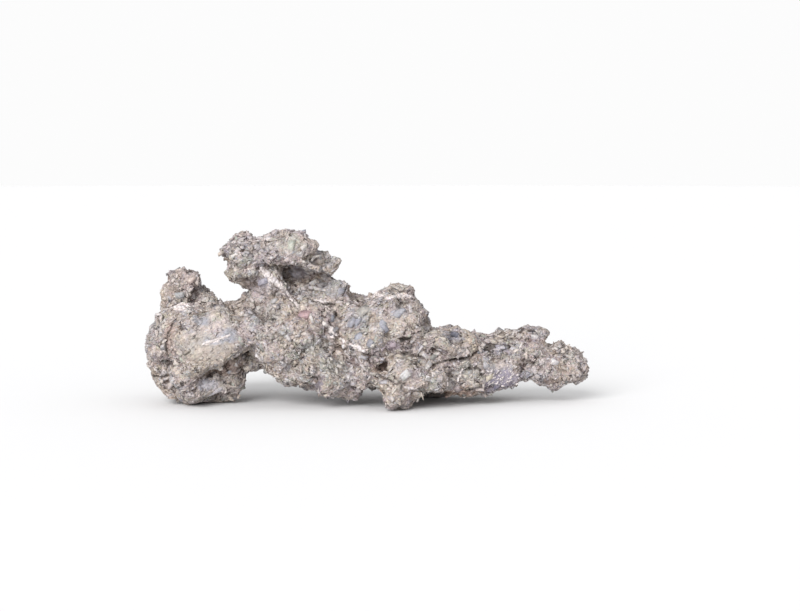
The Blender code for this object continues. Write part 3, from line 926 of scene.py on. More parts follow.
def patches_at(points):
    """Each point's colour of patch, seam or painted lip shadow, with how much of it as a fourth value."""
    bent = points.copy()
    for pitch, amount in PATCH_WOBBLES:
        for turn, axis in enumerate(range(3), 4):
            bent[:, axis] += amount * noise_at(points, pitch, SKIN_SEED * turn)
    crooked = points + (SEAM_WOBBLE * noise_at(points, SEAM_WOBBLE_PITCH, SKIN_SEED * 9.0))[:, None]
    laid = [(shade, strength * share_inside(bent, *place)) for *place, shade, strength in PATCHES.values()]
    laid += [(SEAM_COLOUR, SEAM_STRENGTH * share_along(crooked, stops)) for stops in SEAMS.values()]
    # Painted shadow under every lip but the slab's.
    for name, stops in CREVICES.items():
        if name != "boulder_lip":
            laid.append((PAINTED_SHADOW, PAINTED_SHADOW_STRENGTH * share_along(crooked, painted_shadow_stops(stops), PAINTED_SHADOW_REACH)))
    shades, amounts = np.zeros((len(points), 3)), np.zeros((len(points), 1))
    for shade, shares in laid:
        share = shares[:, None]
        total = amounts * (1.0 - share) + share
        mixed = shades * amounts * (1.0 - share) + np.array(shade[:3]) * share
        shades, amounts = mixed / np.maximum(total, 1e-6), total
    return np.concatenate([shades, amounts], axis=1)


patches = patches_at(points_of(body.data))
keep_values(body.data, "patch", patches)


BLACK, WHITE = (0.0, 0.0, 0.0, 1.0), (1.0, 1.0, 1.0, 1.0)
HALF = (0.5, 0.5, 0.5)


def set_inputs(tree, node, inputs):
    """Links each named or numbered input to a socket, or sets a plain value on it."""
    for name, value in inputs.items():
        if isinstance(value, bpy.types.NodeSocket):
            tree.links.new(value, node.inputs[name])
        else:
            node.inputs[name].default_value = value
    return node


def add_node(tree, kind, inputs=None, **settings):
    node = tree.nodes.new("ShaderNode" + kind)
    for name, value in settings.items():
        setattr(node, name, value)
    return set_inputs(tree, node, inputs or {})


def add_ramp(tree, factor, stops, interpolation="LINEAR"):
    """A colour ramp with those (place, colour) stops."""
    node = add_node(tree, "ValToRGB", {"Fac": factor})
    ramp = node.color_ramp
    ramp.interpolation = interpolation
    while len(ramp.elements) < len(stops):
        ramp.elements.new(0.5)
    for element, (place, shade) in zip(ramp.elements, stops):
        element.position = place
        element.color = shade
    return node.outputs["Color"]


def add_rise(tree, factor, low, high):
    """0 below low, rising to 1 at high."""
    return add_ramp(tree, factor, [(low, BLACK), (high, WHITE)])


def add_mix(tree, blend, factor, first, second):
    """Mixes two colours. Each of the three is a socket or a plain value."""
    inputs = {0: factor, 6: first, 7: second}
    return add_node(tree, "Mix", inputs, data_type="RGBA", blend_type=blend).outputs[2]


def add_stain(tree, amount, tone, shade):
    """The tone darkened by that much of the shade."""
    return add_mix(tree, "MULTIPLY", amount, tone, shade)


def add_math(tree, operation, *values, clamp=False):
    return add_node(tree, "Math", dict(enumerate(values)), operation=operation, use_clamp=clamp).outputs[0]


def add_product(tree, first, second, clamp=False):
    return add_math(tree, "MULTIPLY", first, second, clamp=clamp)


def add_vector(tree, operation, *values):
    return add_node(tree, "VectorMath", dict(enumerate(values)), operation=operation).outputs[0]


def add_noise(tree, vector, scale, detail, roughness=0.5, output="Fac"):
    inputs = {"Vector": vector, "Scale": scale, "Detail": detail, "Roughness": roughness}
    return add_node(tree, "TexNoise", inputs).outputs[output]


def add_cells(tree, vector, scale):
    """A field of cells, each with a colour of its own."""
    return add_node(tree, "TexVoronoi", {"Vector": vector, "Scale": scale}, feature="F1").outputs["Color"]


def add_borders(tree, vector, scale):
    """How far each place lies from the border of its cell in the same field."""
    inputs = {"Vector": vector, "Scale": scale}
    return add_node(tree, "TexVoronoi", inputs, feature="DISTANCE_TO_EDGE").outputs["Distance"]


def add_part(tree, shade, part):
    """One of a colour's three values."""
    return add_node(tree, "SeparateColor", {0: shade}).outputs[part]


def kept_value(tree, name, output="Fac"):
    """A number, a colour or an amount that the mesh keeps for each point."""
    return add_node(tree, "Attribute", attribute_name=name).outputs[output]


def new_group(name, inputs, outputs):
    """An empty shader group with those named sockets, what it is given, and its end node."""
    tree = bpy.data.node_groups.new(name, "ShaderNodeTree")
    for in_out, sockets in (("INPUT", inputs), ("OUTPUT", outputs)):
        for socket_name, kind in sockets.items():
            tree.interface.new_socket(name=socket_name, in_out=in_out, socket_type="NodeSocket" + kind)
    return tree, tree.nodes.new("NodeGroupInput").outputs, tree.nodes.new("NodeGroupOutput")


# Drifts of other colours in the cement: scale, shift of the pattern, colour, and how strong it is.
DRIFTS = (
    (42.0, (0.7, 0.2, 0.4), colour(178, 182, 192), 0.6),
    (50.0, (3.1, 1.4, 2.2), colour(191, 194, 180), 0.5),
    (36.0, (6.2, 4.4, 0.3), colour(185, 171, 175), 0.55),
    (30.0, (2.2, 7.4, 5.3), colour(203, 184, 162), 0.45),
)

# How the grain leans in the two kinds of drift, how far it is drawn out along and across, and the scale of
# the drifts.
GRAIN_LEANS = (38.0, -34.0)
GRAIN_LONG, GRAIN_THIN = 0.72, 1.45
GRAIN_DRIFT_SCALE = 34.0

# Cracks, whose dark lines are painted shade: the scales of the waves that bend their lines, with how far,
# and the two nets of lines, each with its scale, which width it takes, how dark it is, and how much of the
# stone it leaves out.
CRACK_BENDS = ((90.0, 0.011), (330.0, 0.0042), (900.0, 0.0012))
CRACK_NETS = ((80.0, "Wide", 1.0, 1.2), (185.0, "Narrow", 0.8, 1.24))
CRACK_AREA_SCALE, CRACK_BREAK_SCALE, CRACK_BREAK_SHARE = 60.0, 210.0, 1.3
LEAST_WIDTH = 0.0001

# How much each of the three sizes of broken face leans.
FACE_SHARES = {"Coarse": 0.8, "Middle": 1.0, "Fine": 0.7}

STONE_SHADE = colour(245, 244, 244)


def add_grain(tree, vector):
    """The place in the stone, drawn out along the grain, which leans one way or the other in drifts."""
    drawn = []
    for lean in GRAIN_LEANS:
        inputs = {"Vector": vector, "Angle": math.radians(lean)}
        turned = add_node(tree, "VectorRotate", inputs, rotation_type="Y_AXIS").outputs[0]
        drawn.append(add_vector(tree, "MULTIPLY", turned, (GRAIN_LONG, 1.0, GRAIN_THIN)))
    side = add_math(tree, "GREATER_THAN", add_noise(tree, vector, GRAIN_DRIFT_SCALE, 3.0), 0.5)
    return add_mix(tree, "MIX", side, *drawn)


def ground_tones():
    """The stone's drifts of colour: pinkish to ochre cement with bluish, greenish, mauve and rusty areas."""
    tree, given, end = new_group("ground_tones", {"Vector": "Vector"}, {"Color": "Color"})
    tone = add_ramp(tree, add_noise(tree, given["Vector"], 24.0, 5.0, 0.62), [
        (0.36, colour(210, 198, 197)),
        (0.47, colour(210, 200, 197)),
        (0.56, colour(212, 201, 190)),
        (0.66, colour(205, 195, 191)),
    ])
    for scale, shift, shade, amount in DRIFTS:
        moved = add_vector(tree, "ADD", given["Vector"], shift)
        there = add_rise(tree, add_noise(tree, moved, scale, 4.0, 0.65), 0.52, 0.64)
        tone = add_mix(tree, "MIX", add_product(tree, there, amount), tone, shade)
    set_inputs(tree, end, {"Color": tone})
    return tree


def mineral_mix():
    """Mineral grains drawn out along the grain of the stone: a tint for each, and the seams between them."""
    tree, given, end = new_group(
        "mineral_mix", {"Vector": "Vector", "Scale": "Float"}, {"Tint": "Color", "Seam": "Float"},
    )
    drawn = add_grain(tree, given["Vector"])
    grain = add_part(tree, add_cells(tree, drawn, given["Scale"]), "Red")
    tint = add_ramp(tree, grain, [
        (0.0, colour(140, 136, 135)),
        (0.09, colour(200, 192, 190)),
        (0.26, colour(236, 228, 219)),
        (0.42, colour(222, 214, 220)),
        (0.58, colour(244, 243, 242)),
        (0.72, colour(204, 212, 228)),
        (0.84, colour(216, 224, 212)),
        (0.94, (1.16, 1.16, 1.16, 1)),
    ], "CONSTANT")
    seam = add_ramp(tree, add_borders(tree, drawn, given["Scale"]), [(0.0, WHITE), (0.1, BLACK)])
    set_inputs(tree, end, {"Tint": tint, "Seam": seam})
    return tree


def crack_lines():
    """Crevices between the fragments, painted as shade: crooked broken lines of two sizes, and steps between
    blocks.
    """
    tree, given, end = new_group(
        "crack_lines",
        {"Vector": "Vector", "Wide": "Float", "Narrow": "Float"},
        {"Line": "Float", "Height": "Float"},
    )
    place = given["Vector"]
    bent = place
    for scale, amount in CRACK_BENDS:
        wave = add_vector(tree, "SUBTRACT", add_noise(tree, place, scale, 2.0, output="Color"), HALF)
        bent = add_vector(tree, "MULTIPLY_ADD", wave, (amount, amount, amount), bent)
    breaks = add_product(tree, add_noise(tree, place, CRACK_BREAK_SCALE, 2.0, 0.6), CRACK_BREAK_SHARE)
    where = add_math(tree, "ADD", add_noise(tree, place, CRACK_AREA_SCALE, 2.0, 0.6), breaks)
    line, height = 0.0, 0.0
    for scale, size, share, low in CRACK_NETS:
        there = add_product(tree, add_math(tree, "SUBTRACT", where, low), 5.0, clamp=True)
        width = add_product(tree, there, add_product(tree, given[size], scale))
        width = add_math(tree, "MAXIMUM", width, LEAST_WIDTH)
        near = add_math(tree, "DIVIDE", add_borders(tree, bent, scale), width)
        dark = add_math(tree, "POWER", add_math(tree, "SUBTRACT", 1.0, near, clamp=True), 0.6)
        dark = add_product(tree, dark, share)
        line = add_math(tree, "MAXIMUM", line, dark)
        rise = add_product(tree, add_part(tree, add_cells(tree, bent, scale), "Blue"), 0.9 * share)
        height = add_math(tree, "ADD", height, add_math(tree, "SUBTRACT", rise, dark))
    set_inputs(tree, end, {"Line": line, "Height": height})
    return tree


def broken_faces():
    """The small broken faces of rock: every grain of three sizes leans its own way."""
    sizes = dict.fromkeys(FACE_SHARES, "Float")
    inputs = {"Vector": "Vector", **sizes, "Lean": "Float"}
    tree, given, end = new_group("broken_faces", inputs, {"Normal": "Vector"})
    facing = add_node(tree, "NewGeometry").outputs["Normal"]
    drawn = add_grain(tree, given["Vector"])
    for size, share in FACE_SHARES.items():
        centred = add_vector(tree, "SUBTRACT", add_cells(tree, drawn, given[size]), HALF)
        scaled = {0: centred, "Scale": add_product(tree, given["Lean"], share)}
        scaled = add_node(tree, "VectorMath", scaled, operation="SCALE").outputs[0]
        turned = add_node(
            tree, "VectorTransform", {0: scaled}, vector_type="VECTOR", convert_from="OBJECT",
            convert_to="WORLD",
        )
        facing = add_vector(tree, "ADD", facing, turned.outputs[0])
    set_inputs(tree, end, {"Normal": add_vector(tree, "NORMALIZE", facing)})
    return tree


def own_rock():
    """Which blocks differ from the cement, and the rock that each of them is."""
    tree, given, end = new_group("own_rock", {"Mineral": "Float"}, {"Color": "Color", "Share": "Float"})
    rock = add_ramp(tree, given["Mineral"], [
        (0.0, colour(201, 194, 181)),
        (0.1, colour(177, 181, 194)),
        (0.2, colour(194, 199, 185)),
        (0.3, colour(210, 205, 203)),
        (0.38, colour(186, 172, 179)),
        (0.46, colour(166, 170, 181)),
        (0.54, colour(217, 214, 210)),
        (0.6, colour(192, 185, 168)),
        (0.68, colour(159, 154, 154)),
    ], "CONSTANT")
    share = add_ramp(tree, given["Mineral"], [
        (0.0, (0, 0, 0, 1)), (0.004, (0.55, 0.55, 0.55, 1)), (0.3, (0.75, 0.75, 0.75, 1)),
        (0.46, (0.6, 0.6, 0.6, 1)), (0.76, (0, 0, 0, 1)),
    ], "CONSTANT")
    set_inputs(tree, end, {"Color": rock, "Share": share})
    return tree


GROUND_TONES = ground_tones()
MINERAL_MIX = mineral_mix()
CRACK_LINES = crack_lines()
BROKEN_FACES = broken_faces()
OWN_ROCK = own_rock()


def add_group(tree, group, first, **values):
    """A shader group in a material, with its first input linked and the others linked or set."""
    return add_node(tree, "Group", {0: first, **values}, node_tree=group).outputs


def start_material(name, inputs):
    """A material with those values on its shader, its tree, the shader, and the place in the stone."""
    material = bpy.data.materials.new(name)
    material.use_nodes = True
    tree = material.node_tree
    shader = set_inputs(tree, tree.nodes["Principled BSDF"], inputs)
    return material, tree, shader, add_node(tree, "TexCoord").outputs["Object"]


def add_dirt_and_shade(tree, tone, low, high, amount, shade):
    """Grime and painted shade in the hollows, from low up to high values of the crevice."""
    hollow_darkening = add_rise(tree, kept_value(tree, "crevice"), low, high)
    return add_stain(tree, add_product(tree, hollow_darkening, amount), tone, shade)


def cement_material():
    finish = {"Roughness": 0.86, "Specular IOR Level": 0.35}
    material, tree, shader, place = start_material("cemented_rock", finish)
    tone = add_group(tree, GROUND_TONES, place)["Color"]
    own = add_group(tree, OWN_ROCK, kept_value(tree, "mineral"))
    tone = add_mix(tree, "MIX", own["Share"], tone, own["Color"])
    # Patch colours, quartz seams and the painted lip shadow.
    patch_share = kept_value(tree, "patch", "Alpha")
    tone = add_mix(tree, "MIX", patch_share, tone, kept_value(tree, "patch", "Color"))
    tone = add_stain(tree, 1.0, tone, STONE_SHADE)
    smooth = add_math(tree, "ADD", kept_value(tree, "worn"), add_product(tree, patch_share, 0.3))
    rough = add_math(tree, "SUBTRACT", 1.0, add_product(tree, smooth, 0.5))
    coarse = add_group(tree, MINERAL_MIX, place, Scale=210.0)
    fine = add_group(tree, MINERAL_MIX, place, Scale=560.0)
    specks = add_group(tree, MINERAL_MIX, place, Scale=1150.0)
    for grains, amount in ((coarse, 0.28), (fine, 0.55), (specks, 0.52)):
        tone = add_stain(tree, add_product(tree, rough, amount), tone, grains["Tint"])
    # Hollows darkened towards brown: partly grime, partly painted shade.
    tone = add_dirt_and_shade(tree, tone, 0.05, 0.6, 0.7, colour(150, 136, 127))
    seams = add_product(tree, coarse["Seam"], add_product(tree, rough, 0.4))
    tone = add_stain(tree, seams, tone, colour(140, 128, 120))
    cracks = add_group(tree, CRACK_LINES, place, Wide=0.001, Narrow=0.0007)
    # The crack lines as painted shade.
    tone = add_stain(tree, add_product(tree, cracks["Line"], rough), tone, colour(104, 93, 87))
    lean = add_product(tree, rough, 0.6)
    leaning = add_group(tree, BROKEN_FACES, place, Coarse=190.0, Middle=420.0, Fine=950.0, Lean=lean)
    bump = {"Distance": 0.0009, "Strength": rough, "Height": cracks["Height"], "Normal": leaning["Normal"]}
    normal = add_node(tree, "Bump", bump).outputs["Normal"]
    set_inputs(tree, shader, {"Base Color": tone, "Normal": normal})
    return material


body.data.materials.append(cement_material())
body.data.shade_flat()
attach(body, "root")
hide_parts("ibigawa_rock")


# ---------------------------------------------------------------------------------------------------------
# The set stones. Broken pieces of other rocks, chert, tuff, slate and limestone, from a few millimetres to
# more than a centimetre, that lie flush in the cement and differ from it in colour.
# ---------------------------------------------------------------------------------------------------------

# The largest ones on the front: centre, length, width, how their length leans in degrees, and colour.
SET_STONES = {
    "pink": ((-0.062, -0.051, 0.0931), 0.0125, 0.0085, -40.0, colour(198, 169, 172)),
    "pale_green": ((-0.0766, -0.044, 0.1589), 0.01, 0.0085, 70.0, colour(207, 210, 198)),
    "white_head": ((-0.0631, -0.042, 0.1578), 0.008, 0.007, 20.0, colour(232, 228, 223)),
    "blue_neck": ((-0.1038, -0.022, 0.1231), 0.01, 0.006, 20.0, colour(184, 182, 193)),
    "pink_knob": ((-0.1755, -0.007, 0.124), 0.007, 0.006, 40.0, colour(218, 203, 196)),
    "grey_knob": ((-0.1868, -0.022, 0.1082), 0.01, 0.007, 10.0, colour(179, 180, 181)),
    "blue_dome": ((0.0305, -0.051, 0.094), 0.012, 0.008, 50.0, colour(184, 185, 192)),
    "rim_dome": ((0.041, -0.041, 0.095), 0.011, 0.004, 75.0, colour(221, 216, 216)),
    "blue_dome_west": ((0.013, -0.056, 0.0817), 0.0095, 0.007, 60.0, colour(178, 180, 190)),
    "mauve_dome": ((0.0227, -0.056, 0.0612), 0.01, 0.006, 10.0, colour(196, 183, 191)),
    "white_front": ((0.0353, -0.08, 0.0369), 0.012, 0.0065, 38.0, colour(216, 216, 214)),
    "white_front_west": ((0.014, -0.06, 0.029), 0.01, 0.005, -15.0, colour(208, 205, 210)),
    "glassy": ((0.0837, -0.032, 0.0724), 0.011, 0.0055, -12.0, colour(122, 124, 137)),
    "yellowish": ((0.118, -0.038, 0.0286), 0.0095, 0.006, 10.0, colour(218, 211, 193)),
    "blue_streak": ((0.1273, -0.026, 0.058), 0.014, 0.004, 32.0, colour(191, 188, 200)),
    "white_end": ((0.1845, -0.017, 0.041), 0.009, 0.0055, -20.0, colour(226, 223, 223)),
    "white_foot": ((-0.1511, -0.032, 0.014), 0.015, 0.0065, 12.0, colour(225, 221, 225)),
    "blue_foot": ((-0.1588, -0.043, 0.0253), 0.012, 0.006, 28.0, colour(207, 207, 215)),
    "white_flank": ((-0.2028, -0.035, 0.0333), 0.008, 0.0055, 50.0, colour(225, 220, 219)),
    "glint": ((-0.0493, -0.053, 0.0659), 0.009, 0.0045, 5.0, colour(235, 234, 238)),
    "blue_body": ((-0.0164, -0.045, 0.0846), 0.011, 0.006, 45.0, colour(171, 172, 181)),
    "dark_body": ((-0.036, -0.042, 0.088), 0.007, 0.005, 60.0, colour(151, 153, 162)),
    "blue_shoulder": ((-0.0284, -0.032, 0.115), 0.0095, 0.0075, 80.0, colour(166, 166, 173)),
    "striped": ((-0.0056, -0.044, 0.0953), 0.013, 0.009, 40.0, colour(190, 187, 182)),
    "grey_shoulder": ((-0.0468, -0.015, 0.1186), 0.009, 0.007, 30.0, colour(188, 187, 190)),
    "white_tail_top": ((0.165, -0.005, 0.066), 0.009, 0.0045, 0.0, colour(220, 215, 215)),
    "white_lens": ((-0.023, -0.057, 0.0235), 0.016, 0.006, 6.0, colour(222, 219, 220)),
    "mauve_heart": ((-0.0461, -0.06, 0.0252), 0.015, 0.0085, 38.0, colour(161, 153, 159)),
    "blue_middle": ((-0.0114, -0.048, 0.0849), 0.0095, 0.006, 55.0, colour(170, 172, 182)),
    "blue_crack": ((-0.0102, -0.062, 0.0717), 0.01, 0.006, 25.0, colour(186, 188, 198)),
    "blue_lip": ((0.0015, -0.068, 0.0665), 0.008, 0.006, 60.0, colour(172, 174, 183)),
    "blue_dome_foot": ((0.0159, -0.054, 0.0806), 0.009, 0.007, -60.0, colour(178, 181, 193)),
    "grey_neck": ((-0.0924, -0.032, 0.1051), 0.009, 0.006, 35.0, colour(194, 194, 195)),
}

# The shade over all of them, the plane behind which a place is on the back, how far from its place the skin
# that is seen there may lie, how thick the stones are, and how far they stand out.
ROCK_SHADE = colour(236, 235, 235)
BACK_FROM = 0.02
SEEN_REACH = 0.025
SET_THICKNESS = 0.0045
SET_PROUD = 0.0013

# Smaller ones all over: how many, their sizes, how they lie, their rocks, and how deep a hollow and how
# worn a face may hold one. All the set stones share so many shapes.
STREWN_COUNT = 760
STREWN_LEAST, STREWN_MOST, STREWN_RARITY = 0.0026, 0.0088, 2.6
STREWN_LEAN, STREWN_SINK, STREWN_PROUD = 0.18, 0.42, 0.0004
STREWN_SPREADS = ((0.9, 1.5), (0.6, 1.0), (0.4, 0.6))
STREWN_ROCKS = (
    colour(223, 219, 217), colour(175, 176, 183), colour(190, 193, 183), colour(194, 182, 183),
    colour(210, 203, 192), colour(147, 145, 148), colour(199, 198, 202), colour(230, 226, 226),
    colour(178, 169, 162), colour(166, 167, 164),
)
MOST_HOLLOW, MOST_WORN = 0.45, 0.5
STONE_SHAPES = 10

# The three sizes of mineral grain in a set stone and how strong each is.
STONE_GRAINS = ((300.0, 0.4), (620.0, 0.5), (1150.0, 0.55))
# The colour that hollows darken towards in the set stones, quartz and chips: grime and painted shade.
DIRT_AND_SHADE_COLOUR = colour(156, 142, 133)


def skin_tree(mesh):
    return BVHTree.FromPolygons(points_of(mesh).tolist(), triangles_of(mesh).tolist())


def nearest_tree(places):
    """A tree that finds the nearest of those places."""
    tree = KDTree(len(places))
    for index, place in enumerate(places):
        tree.insert(place, index)
    tree.balance()
    return tree


def laid_on_skin(tree, place, reach):
    """The point of the skin nearest to a place, and the mean normal of the skin round it."""
    spot = tree.find_nearest(Vector(place))[0]
    total = Vector((0.0, 0.0, 0.0))
    for axis in range(3):
        for side in (-reach, reach):
            beside = Vector(spot)
            beside[axis] += side
            total += tree.find_nearest(beside)[1]
    return spot, total.normalized()


def seen_on_skin(tree, place):
    """The skin straight before that place, seen from the front, or from behind for the back."""
    side = -1.0 if place[1] < BACK_FROM else 1.0
    spot = tree.ray_cast(Vector((place[0], side, place[2])), Vector((0.0, -side, 0.0)))[0]
    return Vector(place) if spot is None or abs(spot.y - place[1]) > SEEN_REACH else spot


def frame_along(along, facing):
    """A turn that lays a chip's first axis along a direction and its third along the normal."""
    aside = facing.cross(along).normalized()
    return np.array([aside.cross(facing), aside, facing]).T


def stone_material(name, roughness, lean, dirt_and_shade_amount, speckle):
    """Rock of its own colour, kept for each point, with fine grains and small broken faces."""
    material, tree, shader, place = start_material(name, {"Roughness": roughness})
    tone = add_stain(tree, 1.0, kept_value(tree, "rock", "Color"), ROCK_SHADE)
    for scale, amount in STONE_GRAINS:
        grains = add_group(tree, MINERAL_MIX, place, Scale=scale)
        tone = add_stain(tree, amount * speckle, tone, grains["Tint"])
    # Darker in the hollows: partly grime, partly painted shade.
    tone = add_dirt_and_shade(tree, tone, 0.15, 0.8, dirt_and_shade_amount, DIRT_AND_SHADE_COLOUR)
    leaning = add_group(tree, BROKEN_FACES, place, Coarse=260.0, Middle=560.0, Fine=1100.0, Lean=lean)
    set_inputs(tree, shader, {"Base Color": tone, "Normal": leaning["Normal"]})
    return material


body_tree = skin_tree(body.data)
body_points = nearest_tree(points_of(body.data))


def crevice_near(places):
    """How deep in a crevice the skin nearest to each place lies."""
    return np.array([crevice[body_points.find(place)[1]] for place in places])


set_at, set_frames, set_sizes, set_shades = [], [], [], []
for centre, length, width, lean, shade in SET_STONES.values():
    spot, facing = laid_on_skin(body_tree, seen_on_skin(body_tree, centre), 0.35 * width)
    along = Vector((math.cos(math.radians(lean)), 0.0, math.sin(math.radians(lean))))
    set_at.append(spot - facing * (0.5 * SET_THICKNESS - SET_PROUD))
    set_frames.append(frame_along(along, facing))
    set_sizes.append((length, width, SET_THICKNESS))
    set_shades.append(shade)
set_luck = np.random.default_rng(77)
strewn_at, strewn_normals, strewn_nearest = places_on_skin(body.data, STREWN_COUNT, set_luck)
across = STREWN_LEAST + (STREWN_MOST - STREWN_LEAST) * set_luck.random(STREWN_COUNT) ** STREWN_RARITY
across *= size_on(broad_hollows[strewn_nearest])
strewn_sizes = chip_sizes(across, set_luck, *STREWN_SPREADS)
strewn_uprights = strewn_normals + set_luck.normal(0.0, STREWN_LEAN, (STREWN_COUNT, 3))
strewn_frames = turned_frames(strewn_uprights, grain_at(strewn_at), set_luck)
strewn_sunk = STREWN_SINK * strewn_sizes[:, 2] - STREWN_PROUD
strewn_centres = strewn_at - strewn_normals * strewn_sunk[:, None]
strewn_shades = np.array(STREWN_ROCKS)[set_luck.integers(0, len(STREWN_ROCKS), STREWN_COUNT)]
kept = (strewn_centres[:, 2] > SOLE_HEIGHT) & (crevice[strewn_nearest] < MOST_HOLLOW)
kept &= wear_at(strewn_at) < MOST_WORN
all_at = np.concatenate([np.array(set_at), strewn_centres[kept]])
stone_luck = random.Random(8)
stones = joined_chips(
    "set_stones",
    [broken_chip(stone_luck) for _ in range(STONE_SHAPES)],
    all_at,
    np.concatenate([np.array(set_frames), strewn_frames[kept]]),
    np.concatenate([np.array(set_sizes), strewn_sizes[kept]]),
    {"rock": np.concatenate([np.array(set_shades), strewn_shades[kept]]), "crevice": crevice_near(all_at)},
)
stones.data.materials.append(stone_material("set_rock", 0.62, 0.4, 0.45, 0.6))
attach(stones, "root")


# ---------------------------------------------------------------------------------------------------------
# The quartz. White seams that filled cracks in the older rock, now seen as crooked slivers on the skin, and
# small crystals on the purple patch that glint, as they face the light and as their white is in part a
# painted highlight.
# ---------------------------------------------------------------------------------------------------------

# Seams are laid as slivers: the step from one to the next, how thick they are and how far they stand out,
# how crooked their line and their lean are, and how their widths vary.
SEAM_STEP = 0.0016
SEAM_THICKNESS = 0.003
SEAM_PROUD = 0.0009
SEAM_JITTER, SEAM_LEAN = 0.0003, 0.12
SEAM_SPREAD = (0.45, 1.35)

# Loose slivers all over: how many, how long and how wide for their length, how thick and how far they
# stand out, and how deep a hollow may hold one.
SLIVER_COUNT = 170
SLIVER_LENGTHS, SLIVER_WIDTHS = (0.0015, 0.0055), (0.16, 0.35)
SLIVER_THICKNESS, SLIVER_PROUD, SLIVER_HOLLOW = 0.002, 0.0003, 0.4

# Small crystals: how many, which way they face so that they glint, how far that varies, where they lie, and
# how large they are.
GLINT_COUNT = 170
GLINT_LEAN, GLINT_SPREAD = Vector((0.67, 0.0, 0.74)), 0.5
GLINT_CENTRE, GLINT_HALF_SIZES = (0.132, -0.031, 0.0275), (0.0185, 0.012, 0.011)
GLINT_LEAST, GLINT_MORE = 0.0005, 0.0013

# How many shapes they share, how white they are, how far round a place the skin's lean is taken, and how
# nearly a sliver may point straight out of the skin before it is left out.
QUARTZ_SHAPES = 8
QUARTZ_WHITE = colour(238, 231, 229)
QUARTZ_REACH = 0.001
NEARLY_UPRIGHT = 0.98

quartz_luck = np.random.default_rng(411)
quartz_at, quartz_frames, quartz_sizes = [], [], []


def lay_quartz(place, along, length, width, thickness, proud):
    """Lays one sliver on the skin, unless it would point straight out of it."""
    spot, facing = laid_on_skin(body_tree, place, QUARTZ_REACH)
    if abs(along.dot(facing)) > NEARLY_UPRIGHT:
        return
    quartz_at.append(spot - facing * (0.5 * thickness - proud))
    quartz_frames.append(frame_along(along, facing))
    quartz_sizes.append((length, width, thickness))


for stops in SEAMS.values():
    for (*start, width_start), (*stop, width_stop) in zip(stops, stops[1:]):
        start, stop = Vector(start), Vector(stop)
        run = (stop - start).normalized()
        steps = max(1, round((stop - start).length / SEAM_STEP))
        for step in range(steps):
            share = (step + 0.5) / steps
            jitter = Vector(quartz_luck.normal(0.0, SEAM_JITTER, 3))
            width = (width_start + (width_stop - width_start) * share) * quartz_luck.uniform(*SEAM_SPREAD)
            lean = Vector(quartz_luck.normal(0.0, SEAM_LEAN, 3))
            place = seen_on_skin(body_tree, start.lerp(stop, share) + jitter)
            lay_quartz(place, run + lean, 2.0 * SEAM_STEP, width, SEAM_THICKNESS, SEAM_PROUD)
sliver_at, _, sliver_nearest = places_on_skin(body.data, SLIVER_COUNT, quartz_luck)
for place, hollow in zip(sliver_at, crevice[sliver_nearest]):
    if place[2] > 2.0 * SOLE_HEIGHT and hollow < SLIVER_HOLLOW:
        along = Vector(quartz_luck.normal(0.0, 1.0, 3))
        length = quartz_luck.uniform(*SLIVER_LENGTHS)
        width = length * quartz_luck.uniform(*SLIVER_WIDTHS)
        lay_quartz(place, along, length, width, SLIVER_THICKNESS, SLIVER_PROUD)
# The crystals are as white as the seams, in part a painted highlight for their glint.
for _ in range(GLINT_COUNT):
    place = Vector(GLINT_CENTRE) + Vector(quartz_luck.uniform(-1.0, 1.0, 3) * GLINT_HALF_SIZES)
    size = GLINT_LEAST + GLINT_MORE * quartz_luck.random() ** 2
    along = GLINT_LEAN + Vector(quartz_luck.normal(0.0, GLINT_SPREAD, 3))
    lay_quartz(place, along, 1.7 * size, 0.7 * size, size, 0.4 * size)
quartz_at = np.array(quartz_at)
quartz_white = np.array([QUARTZ_WHITE] * len(quartz_at))
quartz = joined_chips(
    "quartz",
    [broken_chip(stone_luck) for _ in range(QUARTZ_SHAPES)],
    quartz_at,
    np.array(quartz_frames),
    np.array(quartz_sizes),
    {"rock": quartz_white, "crevice": crevice_near(quartz_at)},
)
quartz.data.materials.append(stone_material("milky_quartz", 0.35, 0.25, 0.25, 0.45))
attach(quartz, "root")


# ---------------------------------------------------------------------------------------------------------
# The standing fragments. Splinters of older rock, from a grain of sand up to a few millimetres, that are
# broken on all sides and set half deep in the cement.
# ---------------------------------------------------------------------------------------------------------

# How many there are of each kind, before those on soles, in crevices or over set stones are left out, and
# how many shapes they all share.
CHIPS_PER_PIECE = 4400
CHIP_SHAPES = 8

# Their sizes: how far across at least and how much more at most, the power that makes large ones rare, and
# how long, wide and thick they are for that.
CHIP_LEAST, CHIP_MORE, CHIP_RARITY = 0.0012, 0.007, 3.6
CHIP_SPREADS = ((1.0, 1.75), (0.55, 0.95), (0.24, 0.46))

# How they lie: how flush with the skin, how much of their depth is sunk, how far they stand out, and how
# deep a hollow may hold one. Wear makes them thinner and fewer by that much.
CHIP_FLUSH, CHIP_SINK, CHIP_STAND, CHIP_HOLLOW = (0.75, 1.3), 0.9, (0.0001, 0.0006), 0.6
CHIP_THINNING, WEAR_ON_CHIPS = 0.5, 1.2

# How clear of a quartz sliver, and of a set stone for its width, they are, by how much of their own length.
CLEARANCE, STONE_CLEARANCE, OWN_CLEARANCE = 0.0018, 0.4, 0.45


